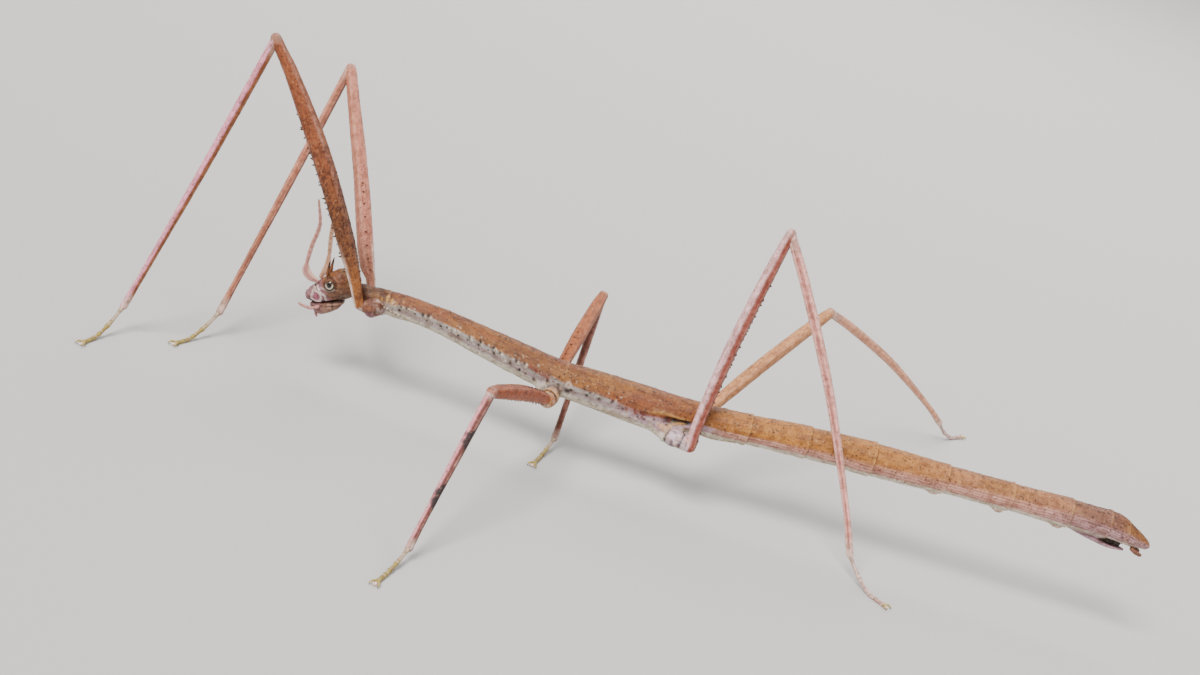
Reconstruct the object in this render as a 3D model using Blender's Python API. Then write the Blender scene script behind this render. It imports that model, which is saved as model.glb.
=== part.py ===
"""Giant stick insect: an adult, wingless female at life size, as a still display model.

The head points along -X, the insect's left side is -Y, and the six feet stand on Z = 0.
Sizes and places below are millimetres; MM turns them into metres.
"""

import math

import bmesh
import bpy
from mathutils import Matrix, Vector

MM = 0.001
CENTRE_SHIFT = (-7.6, -5.25, 0.0)  # carries the middle of the outer box onto the origin
JOINT_GAP = 0.06  # left open between two neighbouring pieces of the body
TRUNK_SIDES = 14
WELD = 0.000001  # metres
DOME_TURNS = (0.52, 1.05, 1.45)  # radians from the end of a limb to its outermost ring
LIMB_SHARES = (0.0, 0.16, 0.48, 0.84, 1.0)  # where a limb's radii are given
FEMUR_STEP = 3.2
TIBIA_STEP = 3.6

# Trunk: along X, the middle line's Y and Z, the half width and the half height.
TRUNK = [
    (-32.9, 3.4, 13.45, 1.10, 1.10),
    (-30.6, 3.1, 13.45, 1.40, 1.35),
    (-28.3, 2.9, 13.60, 1.45, 1.45),
    (-26.5, 2.7, 13.75, 1.50, 1.50),
    (-20.4, 2.0, 13.55, 1.70, 1.75),
    (-14.7, 1.3, 13.00, 1.95, 2.02),
    (-8.9, 0.7, 12.35, 2.20, 2.25),
    (-4.2, 0.2, 11.95, 2.10, 2.35),
    (-2.7, 0.0, 11.90, 2.20, 2.40),
    (2.3, 0.0, 11.90, 2.45, 2.60),
    (7.0, 0.0, 11.80, 2.65, 2.78),
    (10.5, 0.0, 11.80, 2.60, 2.80),
    (13.5, 0.0, 12.30, 2.15, 2.35),
    (16.5, 0.0, 12.70, 2.00, 2.10),
    (20.3, 0.0, 12.96, 2.05, 2.08),
    (30.7, 0.0, 14.10, 2.20, 2.20),
    (40.2, 0.0, 14.70, 2.33, 2.33),
    (49.8, 0.0, 15.25, 2.03, 2.02),
    (58.1, 0.0, 15.70, 1.92, 1.92),
    (68.1, 0.0, 16.20, 2.00, 2.00),
    (71.5, 0.0, 16.25, 2.00, 1.95),
    (73.8, 0.0, 16.25, 1.95, 1.82),
    (76.3, 0.0, 16.00, 1.75, 1.55),
    (78.6, 0.0, 15.55, 1.25, 0.98),
    (80.2, 0.0, 15.15, 0.70, 0.42),
]
# Pieces of the trunk, each from its front joint to its rear joint.
TRUNK_PIECES = [
    ("pronotum", -32.9, -28.3),
    ("mesothorax", -28.3, -2.7),
    ("metathorax", -2.7, 16.5),
    ("abdomen_1", 16.5, 23.1),
    ("abdomen_2", 23.1, 31.2),
    ("abdomen_3", 31.2, 40.3),
    ("abdomen_4", 40.3, 50.6),
    ("abdomen_5", 50.6, 59.8),
    ("abdomen_6", 59.8, 68.1),
    ("abdomen_7", 68.1, 73.6),
    ("abdomen_8", 73.6, 76.4),
    ("tail_tip", 76.4, 80.2),
]
STATION_STEP = 2.6  # longest run of trunk between two rings of points
RIM_FLARE = 1.035  # a piece of the abdomen is this much thicker at its rear rim

# Head, in its own frame: the neck joint is the origin and the face points along -X.
HEAD_PLACE = (-33.2, 3.45, 13.85)
HEAD_PITCH = -21.0  # degrees; the face hangs below the line of the thorax
HEAD_YAW = -6.4
HEAD = [  # distance ahead of the neck, half width, top, bottom
    (0.0, 1.00, 1.00, -1.10),
    (0.6, 1.30, 1.50, -1.45),
    (1.5, 1.70, 2.50, -1.75),
    (2.8, 1.80, 2.20, -1.85),
    (3.9, 1.62, 1.55, -1.85),
    (4.9, 1.32, 0.85, -1.80),
    (5.8, 0.98, 0.10, -1.62),
    (6.4, 0.58, -0.50, -1.28),
]
MOUTH = [  # the jaws and lower lip under the face
    (1.9, 0.70, -2.20, -2.50),
    (2.6, 1.05, -2.00, -2.95),
    (3.9, 1.10, -2.02, -3.25),
    (5.1, 0.92, -1.98, -3.10),
    (5.8, 0.55, -1.92, -2.60),
]
EYE_PLACE = (-2.9, 1.64, 0.78)
EYE_RADIUS = 0.66
HORN_PLACE = (-3.4, 0.78, 1.98)
HORN_HEIGHT = 1.9
HORN_RADII = (0.42, 0.2)
HORN_TILT = (7.0, 14.0)  # degrees outward and backward

# Antennae and feelers of the mouth, in the head's frame: places with radii.
ANTENNA_BASE = {
    "left": [(-4.9, -1.0, 1.15, 0.3), (-5.7, -1.2, 1.75, 0.5), (-6.15, -1.35, 2.7, 0.5), (-5.95, -1.4, 3.7, 0.28)],
    "right": [(-4.9, 1.0, 1.15, 0.3), (-4.3, 1.25, 2.1, 0.5), (-3.95, 1.5, 2.9, 0.5), (-3.75, 1.7, 3.9, 0.28)],
}
ANTENNA_LASH = {
    "left": [(-5.88, -1.42, 3.95), (-4.95, -1.5, 6.3), (-3.6, -1.6, 9.1), (-3.4, -1.7, 12.5)],
    "right": [(-3.7, 1.75, 4.15), (-3.3, 1.9, 6.5), (-2.7, 2.0, 9.0), (-2.2, 2.1, 12.3)],
}
PALP = {
    "left": [(-5.0, -1.25, -2.45), (-5.9, -1.6, -2.5), (-6.9, -1.6, -2.2), (-7.6, -1.4, -1.9)],
    "right": [(-5.0, 1.25, -2.45), (-5.8, 1.3, -3.0), (-6.1, 0.9, -3.7), (-5.9, 0.5, -4.3)],
}
FEELER_RADIUS = 0.25

# Legs. Each runs coxa, hip, knee, ankle, toe; the two legs of a pair share their bone lengths.
LEGS = {
    "front_left": [(-30.2, 1.0, 12.3), (-32.3, 0.75, 12.4), (-51.7, 0.2, 44.1), (-61.2, -3.2, 3.7),
                   (-63.8, -10.6, 0.5)],
    "front_right": [(-29.6, 5.0, 12.3), (-30.9, 5.9, 12.5), (-44.8, 33.2, 34.0), (-49.9, 5.3, 3.5),
                    (-53.5, -1.8, 0.5)],
    "middle_left": [(-3.9, -2.4, 9.85), (-4.1, -3.3, 9.7), (-11.8, -22.6, 16.4), (-15.6, -39.9, 1.6),
                    (-17.9, -47.6, 0.5)],
    "middle_right": [(-3.9, 2.4, 9.85), (-3.8, 3.3, 9.7), (-0.1, 22.5, 16.9), (-1.0, 4.3, 1.4),
                     (-3.0, -3.4, 0.5)],
    "hind_left": [(13.6, -2.4, 9.75), (15.5, -2.75, 9.6), (18.5, -3.4, 42.1), (40.8, -7.0, 3.5),
                  (46.4, -12.0, 0.5)],
    "hind_right": [(13.6, 2.4, 9.75), (15.5, 2.75, 9.6), (31.9, 24.9, 24.5), (59.7, 52.9, 3.5),
                   (65.2, 58.2, 0.5)],
}
COXA_RADIUS = {"front": 0.80, "middle": 0.78, "hind": 0.95}
COXA_SWELL = 1.15  # the coxa's outer end, against the base of the femur
FEMUR_RADII = {  # at the base, along the base, at its thickest, before the knee, at the knee
    "front": (0.46, 0.62, 1.00, 0.92, 0.78),
    "middle": (0.66, 0.86, 1.02, 0.92, 0.74),
    "hind": (0.60, 0.80, 0.90, 0.84, 0.70),
}
TIBIA_RADII = {  # below the knee, a quarter down, half way, before the ankle, at the ankle
    "front": (0.62, 0.62, 0.58, 0.46, 0.52),
    "middle": (0.60, 0.62, 0.56, 0.44, 0.50),
    "hind": (0.66, 0.70, 0.66, 0.46, 0.52),
}
FEMUR_BOW = {"front": 1.2, "middle": 0.5, "hind": 0.5}  # how far the middle stands off the chord
TIBIA_BOW = {"front": -0.2, "middle": 0.4, "hind": 1.2}
TARSUS_JOINTS = (0.0, 0.42, 0.60, 0.74, 0.84, 1.0)  # ends of the five foot joints
FLAT_FROM = 0.74  # share of the foot after which it lies level
TARSUS_RADII = (0.40, 0.33)  # at the swollen end of a joint and along it
SOLE_DEPTH = 0.10  # how much of each foot the floor plane trims off
CLAW_RADIUS = 0.16
CLAW_SPREAD = 0.55
CLAW_LENGTH = 0.85

COLOURS = {  # base colour and roughness
    "back_tan": ((0.48, 0.27, 0.13), 0.6),
    "thorax_tan": ((0.46, 0.29, 0.18), 0.6),
    "head_brown": ((0.42, 0.27, 0.19), 0.55),
    "eye_glossy": ((0.62, 0.52, 0.40), 0.15),
    "horn_brown": ((0.20, 0.10, 0.06), 0.5),
    "feeler_pale": ((0.72, 0.55, 0.46), 0.5),
    "coxa_pink": ((0.58, 0.40, 0.32), 0.6),
    "femur_rust": ((0.42, 0.20, 0.11), 0.55),
    "tibia_pink": ((0.62, 0.38, 0.31), 0.55),
    "foot_pale": ((0.66, 0.58, 0.38), 0.5),
    "claw_amber": ((0.70, 0.58, 0.42), 0.35),
}


def clear_scene():
    """Remove what the file starts with."""
    for old in list(bpy.data.objects):
        bpy.data.objects.remove(old, do_unlink=True)


def collection(name, hidden=False):
    """A new collection in the scene."""
    made = bpy.data.collections.new(name)
    bpy.context.scene.collection.children.link(made)
    made.hide_render = hidden
    return made


def material(name):
    """The Principled material of that name from COLOURS, made once."""
    if name in bpy.data.materials:
        return bpy.data.materials[name]
    colour, roughness = COLOURS[name]
    made = bpy.data.materials.new(name)
    made.use_nodes = True
    surface = made.node_tree.nodes["Principled BSDF"]
    surface.inputs["Base Color"].default_value = (*colour, 1.0)
    surface.inputs["Roughness"].default_value = roughness
    surface.inputs["Metallic"].default_value = 0.0
    made.diffuse_color = (*colour, 1.0)
    return made


def add_object(name, data, place, parent, material_name):
    """Put mesh or curve data into the model under its parent."""
    made = bpy.data.objects.new(name, data)
    data.materials.append(material(material_name))
    made.location = Vector(place) * MM
    made.parent = parent
    BODY.objects.link(made)
    return made


def between(table, key):
    """Values of a table of rows at a key, along a smooth curve through the rows."""
    last = len(table) - 2
    index = next((i for i in range(last + 1) if key <= table[i + 1][0]), last)
    rows = [table[min(max(i, 0), last + 1)] for i in range(index - 1, index + 3)]
    span = rows[2][0] - rows[1][0]
    t = (key - rows[1][0]) / span
    values = []
    for a, b, c, d in zip(*[row[1:] for row in rows]):
        rise_b = (c - a) * span / (rows[2][0] - rows[0][0])
        rise_c = (d - b) * span / (rows[3][0] - rows[1][0])
        values.append(
            b * (2 * t**3 - 3 * t**2 + 1) + c * (3 * t**2 - 2 * t**3)
            + rise_b * (t**3 - 2 * t**2 + t) + rise_c * (t**3 - t**2)
        )
    return values


def loft(name, rings, place, parent, material_name):
    """One closed solid through rings of points, flat at both ends."""
    work = bmesh.new()
    rows = [[work.verts.new(Vector(point) * MM) for point in ring] for ring in rings]
    sides = len(rows[0])
    for near, far in zip(rows, rows[1:]):
        for i in range(sides):
            j = (i + 1) % sides
            work.faces.new((near[i], near[j], far[j], far[i]))
    work.faces.new(rows[0][::-1])
    work.faces.new(rows[-1])
    bmesh.ops.recalc_face_normals(work, faces=work.faces)
    mesh = bpy.data.meshes.new(name)
    work.to_mesh(mesh)
    work.free()
    return add_object(name, mesh, place, parent, material_name)


def oval(x, y, z, half_width, half_height, sides=TRUNK_SIDES):
    """A ring of points round the X direction."""
    turns = [2 * math.pi * (i + 0.5) / sides for i in range(sides)]
    return [(x, y + half_width * math.cos(a), z + half_height * math.sin(a)) for a in turns]


def trunk_piece(name, front, rear, parent):
    """One length of the trunk between two joints, with rounded-over ends."""
    start = front + JOINT_GAP / 2
    end = rear - JOINT_GAP / 2
    steps = max(2, math.ceil((end - start) / STATION_STEP))
    flare = RIM_FLARE if name.startswith("abdomen") else 1.0
    rings = []
    for i in range(steps + 1):
        share = i / steps
        x = start + (end - start) * share
        y, z, half_width, half_height = between(TRUNK, x)
        swell = 1 + (flare - 1) * (2 * share - 1)
        rings.append(oval(x, y, z, half_width * swell, half_height * swell))
    colour = "back_tan" if x > 16 else "thorax_tan"
    return loft(name, rings, (0, 0, 0), parent, colour)


def curved(points, step):
    """Evenly spread points on a smooth curve through the given ones, with their radii."""
    rows = [(i, *point) for i, point in enumerate(points)]
    length = sum((Vector(b[:3]) - Vector(a[:3])).length for a, b in zip(points, points[1:]))
    count = max(len(points), math.ceil(length / step))
    return [between(rows, (len(points) - 1) * i / count) for i in range(count + 1)]


def domed(points):
    """Add a round end beyond both ends of a limb, centred on its end points."""
    def cap(end, inner):
        out = (Vector(end[:3]) - Vector(inner[:3])).normalized()
        rows = []
        for turn in DOME_TURNS:
            place = Vector(end[:3]) + out * end[3] * math.sin(turn)
            rows.append((*place, end[3] * math.cos(turn)))
        return rows

    return cap(points[0], points[1])[::-1] + list(points) + cap(points[-1], points[-2])


def rod_mesh(points, resolution):
    """A mesh made from a curve with a round bevel, along points that each carry a radius."""
    data = bpy.data.curves.new("rod", "CURVE")
    data.dimensions = "3D"
    data.bevel_depth = MM
    data.bevel_resolution = resolution
    data.use_fill_caps = True
    spline = data.splines.new("POLY")
    spline.points.add(len(points) - 1)
    for target, (x, y, z, radius) in zip(spline.points, points):
        target.co = (x * MM, y * MM, z * MM, 1.0)
        target.radius = radius
    rod = bpy.data.objects.new("rod", data)
    mesh = bpy.data.meshes.new_from_object(rod)
    bpy.data.objects.remove(rod, do_unlink=True)
    bpy.data.curves.remove(data)
    return mesh


def tube(name, points, parent, material_name, cuts=(), resolution=2):
    """A round limb along points that each carry a radius, cut at planes given as (place, normal)."""
    mesh = rod_mesh(points, resolution)
    mesh.name = name
    work = bmesh.new()
    work.from_mesh(mesh)
    bmesh.ops.remove_doubles(work, verts=work.verts, dist=WELD)
    for place, normal in cuts:
        everything = work.verts[:] + work.edges[:] + work.faces[:]
        cut = bmesh.ops.bisect_plane(
            work, geom=everything, plane_co=Vector(place) * MM, plane_no=normal, clear_inner=True,
        )
        rim = [piece for piece in cut["geom_cut"] if isinstance(piece, bmesh.types.BMEdge)]
        bmesh.ops.edgeloop_fill(work, edges=rim)
    bmesh.ops.recalc_face_normals(work, faces=work.faces)
    work.to_mesh(mesh)
    work.free()
    return add_object(name, mesh, (0, 0, 0), parent, material_name)


def with_radii(places, radii):
    """Places and radii as rows of four."""
    return [(*place, radius) for place, radius in zip(places, radii)]


def bowed(start, end, bow):
    """Five places along a limb whose middle stands above its chord."""
    start, end = Vector(start), Vector(end)
    along = (end - start).normalized()
    up = Vector((0, 0, 1))
    out = (up - along * along.dot(up)).normalized()
    places = []
    for share in LIMB_SHARES:
        lift = bow * 4 * share * (1 - share)
        places.append(tuple(start.lerp(end, share) + out * lift))
    return places


def mitre(before, joint, after):
    """The two planes that part a bent limb at a joint, one for each of its sides."""
    joint = Vector(joint)
    back = (Vector(before) - joint).normalized()
    ahead = (Vector(after) - joint).normalized()
    normal = (back - ahead).normalized()
    gap = normal * JOINT_GAP / 2
    return (joint + gap, normal), (joint - gap, -normal)


def tarsus_points(ankle, toe):
    """The foot's middle line and radii: five joints, laid down on the floor at the end."""
    level = TARSUS_RADII[0] - SOLE_DEPTH
    ankle, toe = Vector(ankle), Vector(toe)
    points = []
    for first, second in zip(TARSUS_JOINTS, TARSUS_JOINTS[1:]):
        length = second - first
        for share, radius in ((0.12, TARSUS_RADII[1]), (0.6, TARSUS_RADII[1]), (0.9, TARSUS_RADII[0])):
            t = first + length * share
            place = ankle.lerp(toe, t)
            place.z = level + (ankle.z - level) * max(0.0, 1 - t / FLAT_FROM) ** 1.6
            points.append((*place, radius))
    return [(*ankle, TARSUS_RADII[0]), *points[1:]]


def claws(name, toe, heading, parent):
    """Both claws of a foot as one bent rod, ahead of its last joint."""
    side = Vector((-heading.y, heading.x, 0))
    root = Vector((toe[0], toe[1], 0)) + heading * (TARSUS_RADII[0] + CLAW_RADIUS)
    points = []
    for turn in (-1.0, -0.72, -0.3, 0.3, 0.72, 1.0):
        reach = CLAW_LENGTH * turn * turn
        place = root + side * CLAW_SPREAD * turn + heading * reach
        place.z = 0.42 - 0.2 * turn * turn
        points.append((*place, CLAW_RADIUS))
    return tube(name, points, parent, "claw_amber", resolution=1)


def leg(name, joints, parent, floor):
    """Coxa, femur, tibia, foot and claws of one leg."""
    pair, _ = name.split("_")
    coxa, hip, knee, ankle, toe = joints
    hip_in, hip_out = mitre(coxa, hip, knee)
    knee_in, knee_out = mitre(hip, knee, ankle)
    ankle_in, ankle_out = mitre(knee, ankle, toe)
    radius = COXA_RADIUS[pair]
    line = with_radii((coxa, hip), (radius, FEMUR_RADII[pair][0] * COXA_SWELL))
    tube(f"coxa_{name}", domed(line), parent, "coxa_pink", [hip_in], resolution=3)
    line = with_radii(bowed(hip, knee, FEMUR_BOW[pair]), FEMUR_RADII[pair])
    femur = domed(curved(line, FEMUR_STEP))
    tube(f"femur_{name}", femur, parent, "femur_rust", [hip_out, knee_in], resolution=3)
    line = with_radii(bowed(knee, ankle, TIBIA_BOW[pair]), TIBIA_RADII[pair])
    tibia = domed(curved(line, TIBIA_STEP))
    tube(f"tibia_{name}", tibia, parent, "tibia_pink", [knee_out, ankle_in])
    foot = tube(f"tarsus_{name}", domed(tarsus_points(ankle, toe)), parent, "foot_pale", [ankle_out])
    trim = foot.modifiers.new("sole", "BOOLEAN")
    trim.operation = "DIFFERENCE"
    trim.solver = "EXACT"
    trim.object = floor
    heading = Vector((toe[0] - ankle[0], toe[1] - ankle[1], 0)).normalized()
    claws(f"claws_{name}", toe, heading, parent)


def floor_cutter(parent):
    """A block whose top is the floor plane, to trim the soles flat."""
    bpy.ops.mesh.primitive_cube_add(size=1.0)
    block = bpy.context.object
    block.name = "floor_cutter"
    for owner in list(block.users_collection):
        owner.objects.unlink(block)
    CUTTERS.objects.link(block)
    block.scale = (0.2, 0.2, 0.01)
    block.location = (0, 0, -0.005)
    block.hide_render = True
    block.display_type = "WIRE"
    block.parent = parent
    return block


def head_rings(table, sides):
    """Rings for a table of distance ahead, half width, top and bottom."""
    return [
        oval(-ahead, 0, (top + bottom) / 2, half_width, (top - bottom) / 2, sides)
        for ahead, half_width, top, bottom in table
    ]


def ball(name, radius, scale, place, parent, material_name):
    """A small round piece made from a sphere."""
    work = bmesh.new()
    bmesh.ops.create_uvsphere(work, u_segments=12, v_segments=8, radius=radius * MM)
    bmesh.ops.scale(work, vec=scale, verts=work.verts)
    mesh = bpy.data.meshes.new(name)
    work.to_mesh(mesh)
    work.free()
    return add_object(name, mesh, place, parent, material_name)


def horn(name, side, parent):
    """A small pointed horn on the crown."""
    work = bmesh.new()
    bmesh.ops.create_cone(
        work, cap_ends=True, segments=8, radius1=HORN_RADII[0] * MM, radius2=HORN_RADII[1] * MM,
        depth=HORN_HEIGHT * MM, matrix=Matrix.Translation((0, 0, HORN_HEIGHT / 2 * MM)),
    )
    mesh = bpy.data.meshes.new(name)
    work.to_mesh(mesh)
    work.free()
    x, y, z = HORN_PLACE
    made = add_object(name, mesh, (x, y * side, z + JOINT_GAP), parent, "horn_brown")
    made.rotation_euler = (math.radians(-HORN_TILT[0] * side), math.radians(HORN_TILT[1]), 0)
    return made


def head(parent):
    """The head with its eyes, horns, antennae and mouthparts, on a frame of its own."""
    frame = bpy.data.objects.new("head_frame", None)
    frame.location = Vector(HEAD_PLACE) * MM
    frame.rotation_euler = (0, math.radians(HEAD_PITCH), math.radians(HEAD_YAW))
    frame.parent = parent
    BODY.objects.link(frame)
    loft("head", head_rings(HEAD, 14), (0, 0, 0), frame, "head_brown")
    loft("mouth", head_rings(MOUTH, 10), (0, 0, 0), frame, "head_brown")
    for label, side in (("left", -1), ("right", 1)):
        x, y, z = EYE_PLACE
        place = (x, (y + 0.32) * side, z)
        ball(f"eye_{label}", EYE_RADIUS, (1.0, 0.42, 1.0), place, frame, "eye_glossy")
        horn(f"horn_{label}", side, frame)
        tube(f"antenna_base_{label}", curved(ANTENNA_BASE[label], 0.7), frame, "feeler_pale")
        for feeler, places in (("antenna_lash", ANTENNA_LASH[label]), ("palp", PALP[label])):
            line = curved([(*place, FEELER_RADIUS) for place in places], 0.9)
            tube(f"{feeler}_{label}", line, frame, "feeler_pale", resolution=1)


def operculum(parent):
    """The keel-shaped plate under the tail."""
    rings = []
    for x, top, bottom, half_width in (
        (69.0, 13.95, 13.6, 0.5), (71.2, 14.05, 13.3, 0.95), (73.6, 14.1, 13.2, 1.0),
        (75.6, 13.95, 13.3, 0.75), (76.9, 13.75, 13.4, 0.3),
    ):
        rings.append(oval(x, 0, (top + bottom) / 2, half_width, (top - bottom) / 2, 8))
    return loft("operculum", rings, (0, 0, 0), parent, "coxa_pink")


def cercus(name, side, parent):
    """One short tail feeler."""
    points = [(77.7, 0.85 * side, 14.35, 0.27), (78.5, 0.8 * side, 14.0, 0.3), (79.2, 0.7 * side, 13.8, 0.25)]
    return tube(name, points, parent, "coxa_pink", resolution=1)


def build():
    """Model the whole insect under one empty."""
    root = bpy.data.objects.new("insect_frame", None)
    root.location = Vector(CENTRE_SHIFT) * MM
    BODY.objects.link(root)
    floor = floor_cutter(root)
    head(root)
    for name, front, rear in TRUNK_PIECES:
        trunk_piece(name, front, rear, root)
    operculum(root)
    for label, side in (("left", -1), ("right", 1)):
        cercus(f"cercus_{label}", side, root)
    for name, joints in LEGS.items():
        leg(name, joints, root, floor)


clear_scene()
BODY = collection("giant_stick_insect")
CUTTERS = collection("cutters", hidden=True)
build()
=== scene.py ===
import itertools
import math

import bpy
import numpy as np
from mathutils import Euler, Matrix, Vector


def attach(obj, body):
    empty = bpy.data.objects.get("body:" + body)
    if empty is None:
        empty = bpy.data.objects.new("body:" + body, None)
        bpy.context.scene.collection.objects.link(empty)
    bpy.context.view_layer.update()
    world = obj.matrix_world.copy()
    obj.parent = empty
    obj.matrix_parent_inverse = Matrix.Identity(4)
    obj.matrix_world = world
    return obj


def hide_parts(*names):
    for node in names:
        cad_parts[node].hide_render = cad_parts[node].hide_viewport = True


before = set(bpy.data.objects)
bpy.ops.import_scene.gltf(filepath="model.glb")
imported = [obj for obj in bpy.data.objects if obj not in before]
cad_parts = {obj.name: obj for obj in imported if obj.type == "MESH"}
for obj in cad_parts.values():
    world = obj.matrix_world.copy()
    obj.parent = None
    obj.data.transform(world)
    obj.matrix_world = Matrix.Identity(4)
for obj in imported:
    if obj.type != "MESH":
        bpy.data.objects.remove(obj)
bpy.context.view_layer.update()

mm = 0.001
centreShift = np.array((-7.6, -5.25, 0.0))  # the same shift that the solids have
turnFull = 2 * math.pi
sides = {"left": -1, "right": 1}

paintLook = {"richness": 1.2, "depth": 0.92, "contrast": 1.12}  # how the paints are set off against their values


def tone(red, green, blue):
    # screen values from 0 to 255 turned into linear light
    values = np.array((red, green, blue), float) / 255
    linear = np.where(values < 0.04045, values / 12.92, ((values + 0.055) / 1.055) ** 2.4)
    grey = linear @ np.array((0.30, 0.59, 0.11))
    rich = (grey + (linear - grey) * paintLook["richness"]) * paintLook["depth"]
    return np.clip(rich, 0.002, 0.95) ** paintLook["contrast"]


def palette(**screenValues):
    return {name: tone(*values) for name, values in screenValues.items()}


latticeSize = 48
lattice = np.random.default_rng(7).random((latticeSize,) * 3)


def noise(points, cell, seed=0):
    # smooth value noise from -1 to 1; cell is the size of one lump in mm
    place = np.asarray(points) / cell + seed * 7.31
    low = np.floor(place).astype(int)
    part = place - low
    part = part * part * (3 - 2 * part)
    total = 0
    for corner in itertools.product((0, 1), repeat=3):
        index = (low + corner) % latticeSize
        weight = np.prod(np.where(np.array(corner) == 1, part, 1 - part), axis=-1)
        total = total + lattice[index[..., 0], index[..., 1], index[..., 2]] * weight
    return total * 2 - 1


def step(value, low, high):
    # 0 below low, 1 above high, smooth between
    part = np.clip((np.asarray(value, float) - low) / (high - low), 0, 1)
    return part * part * (3 - 2 * part)


def fall(value, low, high):
    return 1 - step(value, low, high)


def span(value, start, full, fade, end):
    # 1 from full to fade, 0 before start and after end
    return step(value, start, full) * fall(value, fade, end)


def patches(flow, cell, seed, low, high, stretch=1):
    # 1 in lumps of the skin, 0 between them; a small stretch draws them out along the limb
    return step(noise(flow * (stretch, 1, 1), cell, seed), low, high)


def bell(value, centre, width):
    return np.exp(-(((np.asarray(value, float) - centre) / width) ** 2))


def towards(angle, degrees):
    # 1 where a limb's surface faces that way, -1 on the other side
    return np.cos(angle - math.radians(degrees))


def join(*parts):
    # separate coordinates made into points
    return np.stack(np.broadcast_arrays(*parts), axis=-1)


def blend(base, colour, mask):
    mask = np.clip(mask, 0, 1)[..., None]
    return base * (1 - mask) + np.asarray(colour) * mask


def coat(points, colours, base):
    # the tint of a piece's points, and the brush that paints over it
    def pick(colour):
        return colours[colour] if isinstance(colour, str) else colour

    def paint(colour, mask, rows=slice(None)):
        tint[rows] = blend(tint[rows], pick(colour), mask)

    tint = np.broadcast_to(pick(base), points.shape).copy()
    return tint, paint


def curveThrough(table, keys):
    # values of a table's rows at the keys, on the curve that the solids follow too
    table = np.array(table, float)
    place, value = table[:, 0], table[:, 1:]
    after = np.vstack([value[1:], value[-1:]]) - np.vstack([value[:1], value[:-1]])
    slope = after / (np.append(place[1:], place[-1:]) - np.append(place[:1], place[:-1]))[:, None]
    keys = np.asarray(keys, float)
    i = np.clip(np.searchsorted(place, keys, side="right") - 1, 0, len(place) - 2)
    gap = (place[i + 1] - place[i])[:, None]
    t = (keys - place[i])[:, None] / gap
    return (
        value[i] * (2 * t**3 - 3 * t**2 + 1) + value[i + 1] * (3 * t**2 - 2 * t**3)
        + slope[i] * gap * (t**3 - 2 * t**2 + t) + slope[i + 1] * gap * (t**3 - t**2)
    )


def unit(vectors):
    vectors = np.asarray(vectors, float)
    return vectors / np.maximum(np.linalg.norm(vectors, axis=-1, keepdims=True), 1e-9)


def addObject(name, data):
    thing = bpy.data.objects.new(name, data)
    bpy.context.scene.collection.objects.link(thing)
    return thing


def makePiece(name, grids, material, replaced):
    # one mesh from closed grids of points; each grid is (points in mm, tint, flow)
    verts, faces, tints, flows = [], [], [], []
    count = 0
    for points, tint, flow in grids:
        rows, around = points.shape[:2]
        for store, values in ((verts, points), (tints, tint), (flows, flow)):
            store.extend([values.reshape(-1, 3), np.array([values[0].mean(0), values[-1].mean(0)])])
        index = np.arange(rows * around).reshape(rows, around) + count
        right = np.roll(index, -1, axis=1)
        quads = np.stack([index[:-1], right[:-1], right[1:], index[1:]], axis=-1).reshape(-1, 4)
        first, last = count + rows * around, count + rows * around + 1
        fan = [(first, b, a) for a, b in zip(index[0], right[0])]
        fan += [(last, a, b) for a, b in zip(index[-1], right[-1])]
        corner = points.reshape(-1, 3)[quads[:, :3] - count] - points.mean(axis=(0, 1))
        inward = np.einsum("ij,ij->i", corner[:, 0], np.cross(corner[:, 1], corner[:, 2])).sum() < 0
        quads = quads[:, ::-1].tolist() if inward else quads.tolist()
        faces += quads + [tuple(f[::-1]) if inward else f for f in fan]
        count += rows * around + 2
    mesh = bpy.data.meshes.new(name)
    mesh.from_pydata(((np.vstack(verts) + centreShift) * mm).tolist(), [], faces)
    mesh.polygons.foreach_set("use_smooth", np.ones(len(mesh.polygons), dtype=bool))
    colour = mesh.attributes.new("tint", "FLOAT_COLOR", "POINT")
    colour.data.foreach_set("color", np.hstack([np.vstack(tints), np.ones((count, 1))]).ravel())
    place = mesh.attributes.new("flow", "FLOAT_VECTOR", "POINT")
    place.data.foreach_set("vector", np.vstack(flows).ravel())
    mesh.materials.append(material)
    piece = addObject(name, mesh)
    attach(piece, "root")
    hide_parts(*replaced)


endSteps = 5  # rings in the round end of a limb


def domeRadii(places, radii):
    # adds round ends beyond both ends of a line of places
    def cap(end, inner, radius):
        out = unit(end - inner)
        turns = np.linspace(0.3, 1.5, endSteps)
        return end + out * radius * np.sin(turns)[:, None], radius * np.cos(turns)

    frontPlace, frontRadius = cap(places[0], places[1], radii[0])
    rearPlace, rearRadius = cap(places[-1], places[-2], radii[-1])
    return (
        np.vstack([frontPlace[::-1], places, rearPlace]),
        np.concatenate([frontRadius[::-1], radii, rearRadius]),
    )


def sweep(places, radii, up, around, shape=1.0):
    # rings of points round a line; angle 0 points along up and a quarter turn to its side
    along = unit(np.gradient(places, axis=0))
    up = np.asarray(up, float)
    out = unit(up - along * (along @ up)[:, None])
    side = np.cross(along, out)
    angle = np.arange(around) / around * turnFull
    reach = radii[:, None] * shape
    high, wide = np.cos(angle) * reach, np.sin(angle) * reach
    points = places[:, None] + out[:, None] * high[..., None] + side[:, None] * wide[..., None]
    run = np.concatenate([[0], np.cumsum(np.linalg.norm(np.diff(places, axis=0), axis=1))])
    return points, join(run[:, None], high, wide), run, angle


def alongLimb(run):
    # 0 to 1 along a domed line, without its round ends
    first, last = run[endSteps], run[-endSteps - 1]
    return (run - first) / (last - first)


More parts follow.
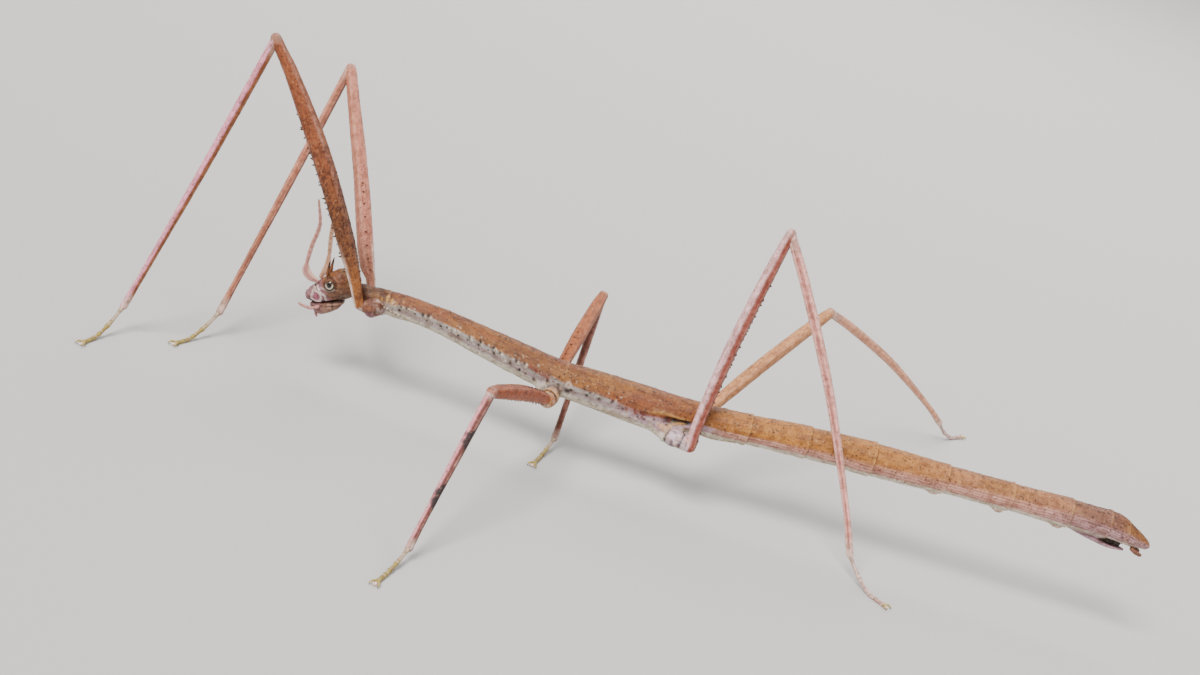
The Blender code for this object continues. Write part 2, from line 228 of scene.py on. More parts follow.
def smoothAlong(values, window):
    # moving average down a column, ends held
    padded = np.pad(values, ((window, window), (0, 0)), mode="edge")
    kernel = np.ones(2 * window + 1) / (2 * window + 1)
    return np.stack([np.convolve(column, kernel, "same") for column in padded.T], axis=1)[window:-window]


def pushOut(points, centres, lift):
    return points + unit(points - centres[:, None]) * lift[..., None]


def roughen(points, centres, flow, depth, cell, seed):
    lift = depth * noise(flow, cell, seed) + depth * 0.5 * noise(flow, cell * 0.4, seed + 1)
    return pushOut(points, centres, lift)


def setSockets(node, sockets):
    # each socket gets a number, a colour or a link from another node
    for name, value in sockets.items():
        if isinstance(value, bpy.types.NodeSocket):
            node.id_data.links.new(value, node.inputs[name])
        else:
            node.inputs[name].default_value = value


def newMaterial(name):
    material = bpy.data.materials.new(name)
    material.use_nodes = True
    return material, material.node_tree.nodes["Principled BSDF"]


def cuticle(name, **changes):
    # insect skin: the piece's own tint, mottled, speckled, streaked along the limb and finely bumped
    look = {**skinLook, **changes}
    material, surface = newMaterial(name)

    def add(kind, sockets, **settings):
        node = material.node_tree.nodes.new(f"ShaderNode{kind}")
        for key, value in settings.items():
            setattr(node, key, value)
        setSockets(node, sockets)
        return node.outputs

    flow = add("Attribute", {}, attribute_name="flow")["Vector"]
    colour = add("Attribute", {}, attribute_name="tint")["Color"]

    def grain(cell, detail, stretch=1.0):
        place = add("Mapping", {"Vector": flow, "Scale": (stretch / cell, 1 / cell, 1 / cell)})["Vector"]
        return add("TexNoise", {"Vector": place, "Scale": 1.0, "Detail": detail, "Roughness": 0.55})["Fac"]

    def ramp(value, low, high, least, most):
        sockets = {"Value": value, "From Min": low, "From Max": high, "To Min": least, "To Max": most}
        return add("MapRange", sockets, interpolation_type="SMOOTHSTEP")["Result"]

    mottle, fine = grain(look["mottle"], 3.0), grain(look["grain"], 2.0)
    for texture, low, high, depth, mode, paint in (
        (mottle, 0.42, 0.62, "mottleDepth", "MULTIPLY", "shade"),
        (grain(look["streak"], 2.0, 0.12), 0.5, 0.68, "streakDepth", "MULTIPLY", "shade"),
        (grain(look["speck"] * 1.3, 2.0, 0.6), 0.56, 0.74, "fleckDepth", "SCREEN", "light"),
        (grain(look["speck"], 1.0, 0.8), 0.60, 0.70, "speckDepth", "MULTIPLY", "dark"),
    ):
        sockets = {"Factor": ramp(texture, low, high, 0.0, look[depth]), "A": colour, "B": (*look[paint], 1.0)}
        colour = add("Mix", sockets, data_type="RGBA", blend_type=mode)["Result"]
    heights = add("Math", {0: mottle, 1: 1.6, 2: fine}, operation="MULTIPLY_ADD")[0]
    bump = add("Bump", {"Strength": look["bump"], "Distance": 0.00008, "Height": heights})["Normal"]
    gloss = ramp(fine, 0.3, 0.7, *look["gloss"])
    setSockets(surface, {"Base Color": colour, "Roughness": gloss, "Normal": bump})
    setSockets(surface, {"Specular IOR Level": look["shine"]})
    return material


skinLook = {  # sizes of the marks in mm, how strong they are, their colours, and the surface
    "mottle": 1.1, "streak": 0.5, "speck": 0.24, "grain": 0.11,
    "mottleDepth": 0.65, "streakDepth": 0.6, "fleckDepth": 0.6, "speckDepth": 0.95,
    "shade": (0.55, 0.44, 0.36), "light": (0.24, 0.15, 0.08), "dark": (0.20, 0.13, 0.10),
    "gloss": (0.38, 0.6), "bump": 0.8, "shine": 0.4,
}
bodySkin = cuticle("bodySkin")
headSkin = cuticle("headSkin", mottle=0.8, speck=0.2)
legSkin = cuticle("legSkin", mottle=0.9, streak=0.32, speck=0.2, mottleDepth=0.6, speckDepth=0.8)
paleSkin = cuticle("paleSkin", mottle=0.5, speck=0.16, mottleDepth=0.3, speckDepth=0.25, bump=0.35)
hornSkin = cuticle("hornSkin", mottle=0.4, speck=0.2, mottleDepth=0.4, gloss=(0.3, 0.45))
clawSkin = cuticle(
    "clawSkin", mottle=0.4, speck=0.2, mottleDepth=0.2, speckDepth=0.1, gloss=(0.18, 0.3), bump=0.1,
)
eyeGloss = cuticle(
    "eyeGloss", mottle=0.3, speck=0.15, mottleDepth=0.2, speckDepth=0.1, streakDepth=0.0, fleckDepth=0.05,
    gloss=(0.06, 0.12), bump=0.03, shine=0.6,
)
print("skins done")

trunkNodes = ["pronotum", "mesothorax", "metathorax"] + [f"abdomen_{n}" for n in range(1, 9)] + ["tail_tip"]
trunkLook = {"stations": 900, "around": 96, "neckRadius": 0.86, "neckLength": 0.8, "endRound": 0.7}
trunkColours = palette(
    backFront=(140, 91, 60), backRear=(178, 128, 78), ochre=(156, 112, 64), backEnd=(176, 130, 98),
    saddle=(122, 78, 50), collar=(94, 60, 42), side=(178, 172, 168), lilac=(198, 172, 182), belly=(226, 218, 202),
    rose=(196, 148, 136), rim=(226, 188, 140), pale=(240, 230, 214), dark=(40, 26, 22), rust=(134, 66, 42),
    tail=(136, 97, 80), mauve=(160, 124, 134), gold=(206, 166, 112),
)
legJoints = {  # coxa, hip, knee, ankle and toe of each leg, as in the solids
    "front_left": (
        (-30.2, 1.0, 12.3), (-32.3, 0.75, 12.4), (-51.7, 0.2, 44.1), (-61.2, -3.2, 3.7), (-63.8, -10.6, 0.5)),
    "front_right": (
        (-29.6, 5.0, 12.3), (-30.9, 5.9, 12.5), (-44.8, 33.2, 34.0), (-49.9, 5.3, 3.5), (-53.5, -1.8, 0.5)),
    "middle_left": (
        (-3.9, -2.4, 9.85), (-4.1, -3.3, 9.7), (-11.8, -22.6, 16.4), (-15.6, -39.9, 1.6), (-17.9, -47.6, 0.5)),
    "middle_right": (
        (-3.9, 2.4, 9.85), (-3.8, 3.3, 9.7), (-0.1, 22.5, 16.9), (-1.0, 4.3, 1.4), (-3.0, -3.4, 0.5)),
    "hind_left": (
        (13.6, -2.4, 9.75), (15.5, -2.75, 9.6), (18.5, -3.4, 42.1), (40.8, -7.0, 3.5), (46.4, -12.0, 0.5)),
    "hind_right": (
        (13.6, 2.4, 9.75), (15.5, 2.75, 9.6), (31.9, 24.9, 24.5), (59.7, 52.9, 3.5), (65.2, 58.2, 0.5)),
}
hipLook = {  # radius of the flesh round the hip, how far it runs back into the body, radii of the coxa's ends
    "front": {"flesh": 0.88, "run": 1.8, "coxa": (1.32, 0.55)},
    "middle": {"flesh": 0.98, "run": -2.2, "coxa": (1.34, 1.12)},
    "hind": {"flesh": 1.12, "run": -5.0, "coxa": (1.22, 0.98)},
}
fleshLook = {"balls": 7, "reach": 0.8, "sink": 0.25, "swell": 0.15, "sharpness": 14.0}
tailBalls = (  # x, height and radius of the flesh that carries the plate under the tail
    (69.6, 14.8, 0.72), (70.6, 14.6, 0.85), (71.6, 14.5, 0.85), (72.6, 14.5, 0.8), (73.6, 14.4, 0.72),
    (74.5, 14.3, 0.62), (75.3, 14.2, 0.52), (75.9, 14.15, 0.42),
)
hookHeights = {50.6: 0.30, 59.8: 0.52, 68.1: 0.40}  # the small lobes under the abdomen, ahead of these joints
bodyJoints = (-28.3, -2.7, 16.5, 23.1, 31.2, 40.3, 50.6, 59.8, 68.1, 73.6, 76.4)  # where two trunk pieces meet
# the line between back and side: turns from the middle of the back, at these x
sideLinePlaces = (-30, -20, -5, 5, 16, 24, 45, 55, 80)
sideLineTurns = (0.20, 0.205, 0.215, 0.235, 0.27, 0.26, 0.235, 0.205, 0.20)
strewnMarks = (  # x from, to and how many; turns; radii; colour; strengths
    ((-28, 8, 70), (0.16, 0.34), (0.08, 0.15), "pale", (0.3, 0.8)),  # warts along the thorax's side
    ((-27, 76, 130), (0.02, 0.24), (0.09, 0.16), "dark", (0.3, 0.9)),  # granules on the back
    ((69, 79.5, 55), (0.0, 0.3), (0.08, 0.15), "dark", (0.3, 0.8)),  # specks on the tail
)


ringSides = 14  # corners of a ring of the trunk's solids


def trunkRings():
    # middle line, half width and half height of the solids at each of their rings
    rows = []
    for node in trunkNodes:
        points = np.array([v.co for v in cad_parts[node].data.vertices]) / mm - centreShift
        for x in np.unique(np.round(points[:, 0], 2)):
            ring = points[np.abs(points[:, 0] - x) < 0.02]
            low, high = ring.min(0), ring.max(0)
            middle, half = (low + high) / 2, (high - low) / 2
            rows.append((ring[:, 0].mean(), middle[1], middle[2], half[1] / math.cos(math.pi / ringSides), half[2]))
    return np.array(sorted(rows))


solidRings = trunkRings()


def trunkAt(x):
    return join(*(np.interp(x, solidRings[:, 0], solidRings[:, k]) for k in range(1, 5)))


def hipBalls():
    # balls of flesh that carry the trunk out to each hip, and the trunk's end to the plate under the tail
    balls = [(np.array((x, 0.0, z)), radius) for x, z, radius in tailBalls]
    for name, joints in legJoints.items():
        look = hipLook[name.split("_")[0]]
        outer = np.array(joints[0])
        x = outer[0] + look["run"]
        middleY, middleZ, _, halfHeight = trunkAt(x)
        inner = np.array((x, middleY, middleZ - fleshLook["sink"] * halfHeight))
        for share in np.linspace(0, fleshLook["reach"], fleshLook["balls"]):
            balls.append((outer + (inner - outer) * share, look["flesh"] * (1 + fleshLook["swell"] * share)))
    return balls


def reachOver(x, middleY, middleZ, angle, own):
    # how much further out the trunk's surface must go to cover the balls, as a factor with soft joins
    direction = join(-np.sin(angle), np.cos(angle))
    sharpness = fleshLook["sharpness"]
    total = own**sharpness
    for centre, radius in hipBalls():
        slab = np.clip(radius**2 - (x - centre[0]) ** 2, 0, None)
        across = np.hstack([centre[1] - middleY, centre[2] - middleZ])
        ahead = across @ direction.T
        inside = slab - ((across**2).sum(1)[:, None] - ahead**2)
        surface = np.where((inside > 0) & (slab > 0), ahead + np.sqrt(np.clip(inside, 0, None)), 0)
        total = total + np.clip(surface, 0, None) ** sharpness
    return total ** (1 / sharpness) / own


def trunkSkin():
    look = trunkLook
    start, end = solidRings[0, 0], solidRings[-1, 0]
    x = np.linspace(start - look["neckLength"], end, look["stations"])
    neck = x < start
    table = trunkAt(x)
    table[neck, 2:] = look["neckRadius"]
    middleY, middleZ, halfWidth, halfHeight = (column[:, None] for column in table.T)
    gx = x[:, None]  # the place along the body, for every point of a ring
    endPart = np.clip(gx - (end - look["endRound"]), 0, None) / look["endRound"]
    endRound = np.sqrt(np.clip(1 - endPart**2, 0.0004, 1))
    turn = np.arange(look["around"]) / look["around"]
    angle = turn * turnFull  # 0 on the back, a quarter turn on the insect's left side
    gh = np.minimum(turn, 1 - turn)  # 0 on the back, 0.25 at the side, 0.5 below
    flow = join(gx, -np.sin(angle) * halfWidth, np.cos(angle) * halfHeight)
    size = (halfWidth + halfHeight) / 2
    wave, small, tiny = noise(flow, 2.2, 1), noise(flow, 0.55, 2), noise(flow, 0.26, 3)

    lift = 0.035 * wave + 0.03 * small + 0.015 * tiny
    # a thin keel down the middle of the back and a blunt one along each side
    lift += 0.05 * bell(gh, 0, 0.012) * step(gx, -28, -26)
    sideLine = np.interp(gx, sideLinePlaces, sideLineTurns) + 0.008 * noise(flow, 3.0, 4)
    onThorax = span(gx, -28.6, -27, 8, 13)
    lift += 0.09 * bell(gh, sideLine, 0.022) * onThorax
    lift -= 0.05 * bell(gh, sideLine + 0.06, 0.03) * onThorax
    lift += 0.05 * bell(gh, 0.42, 0.02) * step(gx, -28, -26)
    lift -= 0.10 * bell(gh, 0.5, 0.05) * span(gx, -26, -22, 66, 69)
    # fuller below, behind the front hips and at the abdomen's root, and on top of the tail
    lift += (0.42 * bell(gx, -27.0, 2.2) + 0.4 * bell(gx, 18.5, 2.6)) * step(gh, 0.30, 0.46)
    lift += 0.38 * bell(gx, 74.6, 1.9) * bell(gh, 0, 0.15)

    tint, paint = coat(flow, trunkColours, "backFront")
    paint("backRear", step(gx, 10, 26))
    paint("backEnd", step(gx, 42, 58))
    paint("tail", step(gx, 65, 71))
    paint("collar", 0.5 * patches(flow, 0.9, 15, 0.1, 0.6, 0.6) * step(gx, 64, 70))
    paint("ochre", patches(flow, 2.4, 5, 0.05, 0.6, 0.35) * 0.6)
    paint("rust", patches(flow, 1.5, 6, 0.15, 0.7, 0.4) * 0.35 * fall(gx, 12, 22))
    # painted shade: the back is made darker around the middle hip, where less light falls
    paint("saddle", 0.6 * bell(gx, -8.5, 5.0))
    paint("collar", fall(gx, -29.5, -26.5))
    under, paintUnder = coat(flow, trunkColours, "side")
    paintUnder("lilac", span(gx, 2, 9, 17, 20))
    paintUnder("rose", step(gx, 17, 20) * fall(gh, 0.33, 0.36))
    paintUnder("mauve", step(gx, 60, 72) * 0.8)
    paintUnder("belly", step(gh, 0.325, 0.36) * (1 - 0.7 * step(gx, 66, 70)))
    paintUnder("pale", 0.45 * step(gh, 0.36, 0.40) * span(gx, 18, 24, 64, 70))
    stripes = gh * 190 + 2.0 * wave
    paintUnder("pale", 0.30 * step(np.sin(stripes), 0.35, 0.9) * step(gx, 17, 22))
    paintUnder("rust", 0.22 * step(np.sin(stripes + 3), 0.5, 0.95) * step(gx, 17, 22))
    soft = 0.012 + 0.03 * step(gx, 20, 40)
    paint(under, step(gh, sideLine - soft, sideLine + soft) * step(gx, -29.5, -27.5))
    paint("pale", 0.5 * bell(gh, 0.35, 0.012) * step(gx, 17, 20))
    front = span(gx, -28, -26, 4, 9)
    paint("pale", 0.55 * front * bell(gh, 0.335 + 0.006 * wave, 0.018))
    paint("mauve", 0.45 * front * bell(gh, 0.285 + 0.008 * wave, 0.022))
    paint("dark", 0.40 * front * bell(gh, 0.405, 0.010))
    patch = bell(gx, -28.0, 1.5) * span(gh, 0.08, 0.12, 0.22, 0.25)
    paint("gold", patch * step(small + 0.3 * np.sin(gx * 9), 0.0, 0.4))

    # pale rims, dark grooves and small hooks where two pieces meet
    edge = 0.03 * noise(flow * (0, 1, 1), 1.2, 8)
    for joint in bodyJoints:
        ahead = gx - joint - edge
        strength = 0.6 if joint < 20 or joint > 73 else 1.0
        lift += strength * (0.035 * bell(ahead, -0.22, 0.18) - 0.050 * bell(ahead, 0.10, 0.13))
        paint("rim", 0.5 * strength * bell(ahead, -0.14, 0.14) * (0.6 + 0.4 * small))
        paint("dark", 0.25 * strength * bell(ahead, 0.12, 0.10))
        if joint in hookHeights:
            hook = bell(gh, 0.43, 0.030) * span(ahead, -2.7, -1.3, -0.9, -0.25)
            lift += hookHeights[joint] * hook
            paint("rose", 0.6 * hook)
            paint("pale", bell(ahead, -0.05, 0.2) * bell(gh, 0.36, 0.04))
    # painted shade: the underside below the front hips is tinted a dark mauve like the shadow that falls there
    paint("mauve", 0.75 * fall(gx, -29.4, -28.2) * step(gh, 0.27, 0.34))
    # fine wrinkles across the abdomen
    ripple = np.sin(gx * 14 + 2.5 * wave) * step(gx, 16, 19)
    lift += 0.012 * ripple * (0.6 + 0.4 * small)
    # painted light and shade: the tint is lighter on the wrinkles' crests and darker in their troughs
    tint *= (1 + 0.06 * ripple)[..., None]
    # front collar: lumps and folds of the pronotum
    collar = fall(gx, -28.6, -28.0)
    lift += collar * (0.10 * noise(flow, 0.8, 9) + 0.05 * noise(flow, 0.35, 10))
    paint("ochre", collar * patches(flow, 0.7, 11, 0.1, 0.6) * 0.45)
    paint("dark", collar * step(-noise(flow, 0.8, 9), 0.35, 0.7) * 0.6)

    def spot(atX, at, radius, height, colour, strength):
        # a granule or a stain on the side now worked on
        near = np.abs(x - atX) < 3 * radius
        gap = np.abs((turn - at * side % 1 + 0.5) % 1 - 0.5) * turnFull * size[near]
        distance = np.sqrt((gx[near] - atX) ** 2 + gap**2) / radius
        lift[near] += height * np.exp(-(distance**2))
        paint(colour, strength * np.exp(-(distance**4)), near)

    dice = np.random.default_rng(21)
    for side in (1, -1):
        for atX in np.arange(-27.0, -5.0, 1.7):  # the granules along the side line
            line = np.interp(atX, (-30, -20, -5), (0.205, 0.21, 0.22)) + dice.normal(0, 0.010)
            atX += dice.normal(0, 0.4)
            spot(atX + 0.30, line + 0.012, dice.uniform(0.18, 0.27), 0.10, "pale", 0.9)
            spot(atX, line, dice.uniform(0.17, 0.28), 0.16, "dark", 0.95)
        for atX in np.arange(-26.0, 12.0, 1.9):  # a sparser row below it, which runs down to the middle hip
            at = 0.255 + 0.05 * bell(atX, -7.5, 2.5) + dice.normal(0, 0.010)
            spot(atX + dice.normal(0, 0.4), at, dice.uniform(0.16, 0.28), 0.10, "dark", 0.95)
        for k in range(6):  # pale thorns and dark gaps behind the front hip
            spot(-29.2 + 0.55 * k, 0.285 + 0.012 * k, 0.22, 0.26, "pale", 0.9)
            spot(-28.93 + 0.55 * k, 0.30 + 0.012 * k, 0.17, -0.05, "dark", 0.8)
        for atX in np.arange(-26.5, 70.0, 3.3):  # dots near the middle of the back
            at = 0.035 + dice.normal(0, 0.012)
            spot(atX + dice.normal(0, 0.9), at, dice.uniform(0.14, 0.22), 0.06, "dark", 0.85)
        spot(76.5, 0.36, 0.34, 0.05, "pale", 0.9)  # the pale crescent over the tail plate's end
        for places, turns, radii, colour, strengths in strewnMarks:
            for atX in dice.uniform(*places):
                at = dice.uniform(*turns)
                spot(atX, at, dice.uniform(*radii), 0.05, colour, dice.uniform(*strengths))
        spot(-2.0, 0.228, 0.42, 0.12, "pale", 0.7)  # the ring wart behind the middle hip
        spot(-2.0, 0.228, 0.24, -0.10, "rust", 0.7)
        # painted shade: the dent behind the middle hip is darkened like the shadow in it
        spot(-1.9, 0.30, 0.45, -0.25, "dark", 0.9)
        for k in range(7):  # the reddish mark above the middle hip
            spot(-7.6 + 0.45 * k, 0.215 + 0.004 * k, 0.34, 0.03, "rust", 0.75)

    # sockets of the legs: a groove round the hip and a pale swollen collar
    normal = join(0 * gx, -np.sin(angle), np.cos(angle))
    middle = join(gx, middleY, middleZ)
    radius = join(0 * gx, halfWidth, halfHeight)
    own = np.hypot(normal[..., 1] * halfWidth, normal[..., 2] * halfHeight)
    swollen = reachOver(gx, middleY, middleZ, angle, own)
    radius = radius * swollen[..., None]
    for name, joints in legJoints.items():
        pair, label = name.split("_")
        distance = np.linalg.norm(middle + normal * radius - np.array(joints[0]), axis=-1)
        facing = ((turn < 0.5) == (label == "left")) * np.clip((swollen - 1) * 8 + 0.5, 0, 1)
        if pair == "front":
            paint("collar", facing * 0.8 * bell(distance, 0.0, 1.8) * fall(gh, 0.27, 0.34))
            paint("dark", facing * 0.7 * bell(distance, 1.62 + 0.1 * small, 0.16) * step(gx, -31, -30))
            paint("lilac", facing * 0.5 * bell(distance, 2.0, 0.4) * step(gh, 0.28, 0.36))
            continue
        rim = hipLook[pair]["coxa"][0]
        lift += facing * 0.10 * (bell(distance, rim + 0.5, 0.24) - bell(distance, rim + 0.12, 0.14))
        paint("pale", facing * 0.45 * bell(distance, rim + 0.45, 0.22))
        paint("dark", facing * 0.85 * bell(distance, rim + 0.1, 0.13))

    # side plates of the metathorax: pale folds over a slit ahead of the hind hip, the slit painted dark as shade
    plate = span(gx, 8.5, 11.0, 14.6, 15.6)
    fold = 0.225 + 0.02 * np.sin((gx - 6) * 0.9) * step(gx, 6, 8)
    lift += plate * 0.16 * bell(gh, fold, 0.014)
    paint("gold", plate * 0.8 * bell(gh, fold, 0.012))
    shadedSlit = span(gx, 11.0, 12.2, 14.8, 15.6)
    dip = 0.262 + 0.016 * step(gx, 11.5, 14.5)
    lift -= shadedSlit * 0.45 * bell(gh, dip, 0.030)
    # painted shade: the inside of the slit is darkened
    paint("dark", shadedSlit * step(bell(gh, dip, 0.034), 0.3, 0.6) * 0.97)
    lace = step(small + 0.5 * np.sin(gx * 5.2), 0.35, 0.7) * span(gx, 3.5, 5, 12.5, 14)
    paint("rust", 0.8 * lace * bell(gh, 0.262, 0.028))
    paint("dark", 0.8 * step(tiny, 0.45, 0.65) * bell(gx, 9.0, 4.0) * bell(gh, 0.29, 0.05))
    paint("pale", 0.7 * patches(flow, 0.7, 12, 0.1, 0.5) * bell(gx, 9.5, 4.0) * bell(gh, 0.33, 0.05))
    paint("rust", 0.75 * bell(gx, 8.2, 2.2) * bell(gh, 0.252, 0.018))
    lower = span(gx, 10.4, 11.2, 14.2, 14.8) * bell(gh, 0.305 + 0.01 * np.sin(gx * 1.7), 0.012)
    lift += 0.15 * lower
    paint("gold", 0.8 * lower)

    # hollow above the plate under the tail, painted dark as shade
    shadedHollow = span(gx, 72.8, 73.8, 76.4, 77.2) * step(gh, 0.375, 0.405)
    lift -= 0.10 * shadedHollow
    paint("dark", 0.97 * shadedHollow)

    lift[neck] *= 0.4
    points = middle + normal * ((radius + lift[..., None]) * endRound[..., None])
    makePiece("trunkSkin", [(points, tint, flow)], bodySkin, trunkNodes)


trunkSkin()
print("trunk done")

thighLines = {  # along the thigh: how far the flesh leans towards the angle in front, and how much thicker it is
    "front_left": (0, (
        (0, 0.5, 0.2), (0.08, 0.5, 0.26), (0.17, 0.5, 0.34), (0.31, 0.45, 0.5), (0.45, 0.25, 0.32),
        (0.61, 0.2, 0.26), (0.75, 0.1, 0.06), (0.9, 0, -0.04), (1, 0, -0.04))),
    "front_right": (241, (
        (0, -0.1, 0.1), (0.13, 0.05, 0.14), (0.2, 0.38, 0.42), (0.28, 0.5, 0.42), (0.39, 0.48, 0.22),
        (0.51, 0.4, -0.03), (0.74, 0.18, -0.08), (1, -0.15, 0))),
    "hind_left": (180, (
        (0, 0.5, 0.36), (0.035, 0.5, 0.3), (0.1, 0.45, 0.08), (0.3, 0.35, 0.06), (0.65, 0.12, 0.04), (1, 0, 0))),
}
limbShares = (0.0, 0.16, 0.48, 0.84, 1.0)  # where along a thigh or shin the radii stand
femurLook = {
    "front": {"bow": 1.2, "radii": (0.46, 0.62, 1.00, 0.92, 0.78), "around": 44, "spacing": 0.15},
    "middle": {"bow": 0.5, "radii": (0.66, 0.86, 1.02, 0.92, 0.74), "around": 32, "spacing": 0.22},
    "hind": {"bow": 0.5, "radii": (0.60, 0.80, 0.90, 0.84, 0.70), "around": 32, "spacing": 0.22},
}
tibiaLook = {
    "front": {"bow": -0.2, "radii": (0.62, 0.62, 0.58, 0.46, 0.52), "around": 28, "spacing": 0.22},
    "middle": {"bow": 0.4, "radii": (0.60, 0.62, 0.56, 0.44, 0.50), "around": 28, "spacing": 0.22},
    "hind": {"bow": 1.2, "radii": (0.66, 0.70, 0.66, 0.46, 0.52), "around": 28, "spacing": 0.22},
}
tarsusLook = {
    "joints": (0.0, 0.42, 0.60, 0.74, 0.84, 1.0), "flatFrom": 0.74, "drop": 1.6, "radii": (0.35, 0.25),
    "level": 0.27, "stations": 130, "around": 20,
}
spineLook = {
    "spacing": 0.027, "radius": 0.14, "around": 6,
    "rows": ((0.53, 0.10, 0.74, 0.4), (0.44, 0.12, 0.66, 0.4), (0.96, 0.08, 0.5, 0.2)),  # turn, from, to, height
    "hindRows": ((0.47, 0.04, 0.8, 0.24), (0.56, 0.06, 0.7, 0.2)),  # along the rear edge only
    "levels": (-0.15, 0.0, 0.35, 0.7, 0.93, 1.0), "taper": (1.25, 1.1, 0.66, 0.36, 0.16, 0.05),
}
clawLine = (  # key, how far ahead, aside and up, radius
    (0, 0.10, 0.18, 0.34, 0.17), (1, 0.36, 0.34, 0.46, 0.15), (2, 0.66, 0.50, 0.42, 0.11),
    (3, 0.90, 0.56, 0.26, 0.07), (4, 1.02, 0.52, 0.10, 0.02),
)
clawLook = {
    "stations": 22, "around": 12, "padAhead": 0.42, "padHeight": 0.2, "padLength": 0.38, "padRadius": 0.34,
}
legColours = palette(
    spine=(96, 56, 36), root=(118, 80, 52), tan=(170, 116, 74), brown=(82, 44, 30), blotch=(48, 22, 26),
    dark=(52, 28, 22), pale=(236, 216, 206), edge=(238, 206, 196), knee=(226, 206, 198), frontCoxa=(130, 94, 80),
    middleCoxa=(188, 148, 108), hindCoxa=(216, 198, 208), foot=(186, 170, 112), footPale=(226, 196, 190),
    red=(150, 78, 70),
)


def legLook(femur, femurRear, tibia, tibiaRear, speckle, spines, light, **marks):
    # the paint of both faces of thigh and shin, and which way the front faces look: the face toward the light gets
    # the lighter colour and the back face the darker one, partly the leg's own two tones and partly painted shade
    faces = palette(femur=femur, femurRear=femurRear, tibia=tibia, tibiaRear=tibiaRear)
    return {"speckle": speckle, "spines": spines, "light": light, **faces, **marks}


legLooks = {
    "front_left": legLook((160, 102, 74), (140, 84, 54), (255, 180, 204), (150, 98, 68), 1.0, 1.0, (330, 10)),
    "front_right": legLook(
        (198, 138, 120), (206, 146, 126), (200, 144, 122), (160, 100, 76), 0.15, 0.4, (60, 90),
    ),
    "middle_left": legLook(
        (206, 126, 80), (168, 94, 60), (232, 166, 176), (118, 62, 54), 1.0, 0.4, (80, 90),
        bands=(0.30, 0.345, 0.66, 0.72),
    ),
    "middle_right": legLook((170, 106, 68), (160, 96, 62), (158, 112, 98), (132, 88, 76), 0.3, 0.3, (0, 270)),
    "hind_left": legLook(
        (255, 214, 218), (160, 100, 88), (255, 196, 188), (244, 176, 168), 0.3, 0.6, (0, 120),
        line=118, stripe=90,
    ),
    "hind_right": legLook(
        (210, 158, 118), (196, 142, 102), (238, 186, 160), (222, 164, 138), 0.15, 0.3, (0, 0), stripe=270,
    ),
}


def limb(start, end, look, keels, trueLine=None):
    # the rings of a thigh or shin, whose middle stands above its chord
    start, end = np.array(start), np.array(end)
    along = unit(end - start)
    out = unit(np.array((0, 0, 1.0)) - along * along[2])
    share = np.array(limbShares)[:, None]
    places = start + (end - start) * share + out * look["bow"] * 4 * share * (1 - share)
    count = int(np.linalg.norm(end - start) / look["spacing"])
    line = curveThrough(np.column_stack([np.arange(5), places, look["radii"]]), np.linspace(0, 4, count))
    if trueLine:
        turn, rows = math.radians(trueLine[0]), np.array(trueLine[1])
        side = np.cross(along, out)
        lean = join(*(np.interp(np.linspace(0, 1, count), rows[:, 0], rows[:, k]) for k in (1, 2)))
        lean = smoothAlong(lean, 4)
        line[:, :3] += lean[:, :1] * (out * math.cos(turn) + side * math.sin(turn))
        line[:, 3] += lean[:, 1]
    centres, size = domeRadii(line[:, :3], line[:, 3])
    angle = np.arange(look["around"]) / look["around"] * turnFull
    body = np.clip(size / max(look["radii"]), 0, 1)[:, None]
    shape = 1 + keels * body * (np.abs(np.cos(2 * (angle - turnFull / 8))) ** 6 - 0.3)
    points, flow, run, angle = sweep(centres, size, out, look["around"], shape)
    return points, flow, alongLimb(run)[:, None], angle, centres, size, out


def keelsAt(angle):
    return np.abs(np.cos(2 * (angle - turnFull / 8))) ** 14


def thorn(base, direction, height):
    # a small pointed spine
    look = spineLook
    direction = unit(direction)
    levels = np.array(look["levels"])
    places = base + direction * (levels * height)[:, None]
    up = (0.3, 0.2, 1.0) if abs(direction[2]) < 0.8 else (1.0, 0.2, 0.1)
    points, flow, _, _ = sweep(places, look["radius"] * np.array(look["taper"]), up, look["around"])
    tint, paint = coat(points, legColours, "spine")
    paint("dark", step(levels, 0.35, 0.75)[:, None])
    return points, tint, flow + base


coxaLook = {
    "stations": 14, "around": 40, "roughness": 0.07, "frontInner": (0.35, 0.25, 0.5), "frontHip": (0.55, 0, 0.1),
}


def coxa(pair, label, joints, look):
    inner, hip = np.array(joints[0]), np.array(joints[1])
    if pair == "front":
        inner = inner + np.array(coxaLook["frontInner"]) * (1, -sides[label], 1)
        hip = hip + np.array(coxaLook["frontHip"])
    share = np.linspace(0, 1, coxaLook["stations"])
    innerRadius, outerRadius = hipLook[pair]["coxa"]
    places = inner + (hip - inner) * share[:, None]
    centres, size = domeRadii(places, innerRadius + (outerRadius - innerRadius) * share)
    points, flow, run, _ = sweep(centres, size, (0, 0, 1), coxaLook["around"])
    points = roughen(points, centres, flow, coxaLook["roughness"], 0.6, 31)
    part = (run / run[-1])[:, None]
    tint, paint = coat(points, legColours, f"{pair}Coxa")
    paint(look["femur"], 0.5 * patches(flow, 0.7, 32, 0.1, 0.5))
    paint("dark", 0.75 * step(-noise(flow, 0.5, 31), 0.22 if pair == "hind" else 0.3, 0.5))
    paint("pale", 0.5 * patches(flow, 0.42, 33, 0.3, 0.6))
    if pair != "front":
        paint("dark", 0.85 * bell(part, 0.58, 0.04))
        paint("pale", 0.6 * bell(part, 0.70, 0.05) + 0.5 * bell(part, 0.45, 0.05))
    if pair != "hind":  # brown arcs round the hip
        arcs = step(np.sin(part * 44 + 1.2 * noise(flow, 0.8, 34)), 0.55, 0.9) * patches(flow, 0.9, 35, -0.3, 0.3)
        colour, strength = ("root", 0.75) if pair == "middle" else ("dark", 0.5)
        paint(colour, strength * arcs)
    return points, tint, flow


